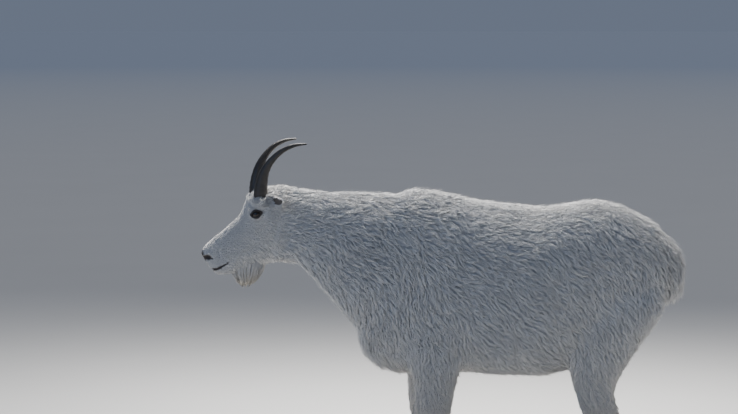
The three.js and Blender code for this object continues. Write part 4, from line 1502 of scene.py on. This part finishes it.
# %% Beard
# Front and back edge (x, z) and half width of each section, from the jaw down, in the head's frame.
# Millimetres.
BEARD = np.array(
    [
        (-158, -178, -34, -150, 30),
        (-150, -212, -48, -192, 26),
        (-134, -240, -70, -230, 17),
        (-118, -258, -99, -256, 8),
    ]
) * MM
BEARD_LOCKS, BEARD_PROFILE = 3400, (0.5, 1.0, 0.85, 0.5)
BEARD_LENGTH, BEARD_HALF = 0.11, 0.030  # of the disc on which its clumps are laid out
# The beard's locks take this share of the dark skin colour, painted shade that darkens the whole beard.
BEARD_PAINTED_SHADE = 0.16


def beard():
    """Locks at a place (p, q) of a disc: every section is that disc, scaled to its edges and half width.
    On the way down p and q draw near to the middle of their clump by t^1.5. Long ones are the warmest."""
    count, k = BEARD_LOCKS, len(BEARD_PROFILE)
    angle, radius = chance.uniform(0, 2 * np.pi, count), np.sqrt(chance.random(count))
    p, q = 0.5 + 0.5 * radius * np.cos(angle), 0.97 * radius * np.sin(angle)
    flat = np.stack([BEARD_LENGTH * p, BEARD_HALF * q, 0 * p], -1)
    middle, own = clumps(flat, np.array([[0, 0, 1.0]]), 0.011)
    end = (chance.uniform(0.62, 1.0, count) - 0.25 * own[:, 0]) * (1 - 0.15 * radius**3)
    share = np.linspace(0, 1, k + 1)[None, :]
    rows = spline(BEARD, (share * end[:, None]).ravel()).reshape(count, k + 1, 5)
    pull = 0.5 * share**1.5
    p = p[:, None] + (middle[:, 0] / BEARD_LENGTH - p)[:, None] * pull
    q = q[:, None] + (middle[:, 1] / BEARD_HALF - q)[:, None] * pull
    x = rows[..., 0] + (rows[..., 2] - rows[..., 0]) * p
    z = rows[..., 1] + (rows[..., 3] - rows[..., 1]) * p + 0.014 * (1 - share) ** 2
    y = q * rows[..., 4]
    sway = 0.0032 * share * np.sin(6 * share + 6.3 * own[:, 1:])
    turn = 0.0026 * share * np.sin(5 * share + 6.3 * own[:, :1])
    path = from_head(np.stack([x + sway, y + turn, z], -1))
    out = np.stack([x[:, 0] + 0.10, 2.5 * y[:, 0], 0 * p[:, 0]], -1) @ TURN.T
    way = unit(path[:, -1] - path[:, 0])
    out = unit(out - way * (out * way).sum(1, keepdims=True))
    width = chance.uniform(0.0013, 0.0030, count)
    shape = lock_mesh(path, np.cross(way, out), out, width, 0.4 * width, np.array([BEARD_PROFILE]))
    return *shape, (path[:, 0], out), 0.25 + 0.45 * ramp(0.5, 0.9, end)


points, faces, roots, warm = beard()
marks = (0 * warm + BEARD_PAINTED_SHADE, warm, chance.uniform(0.1, 0.8, len(warm)))
coat_piece("coat_beard", points, faces, roots, len(BEARD_PROFILE), marks, ["beard"])
print("coat:", coat_total + len(faces), "triangles")

# %% [markdown]
# ## Sizes and the end
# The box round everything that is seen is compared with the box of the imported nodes, which was
# measured right after they were loaded. Locks may stand a few millimetres out of it.

# %% Sizes and the end
seen_low, seen_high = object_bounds()
for label, packed, seen in (("low", cad_low, seen_low), ("high", cad_high, seen_high)):
    beyond = [round((s - p) / MM, 1) for s, p in zip(seen, packed)]
    print(label, "corner beyond the packed one by", beyond, "mm")
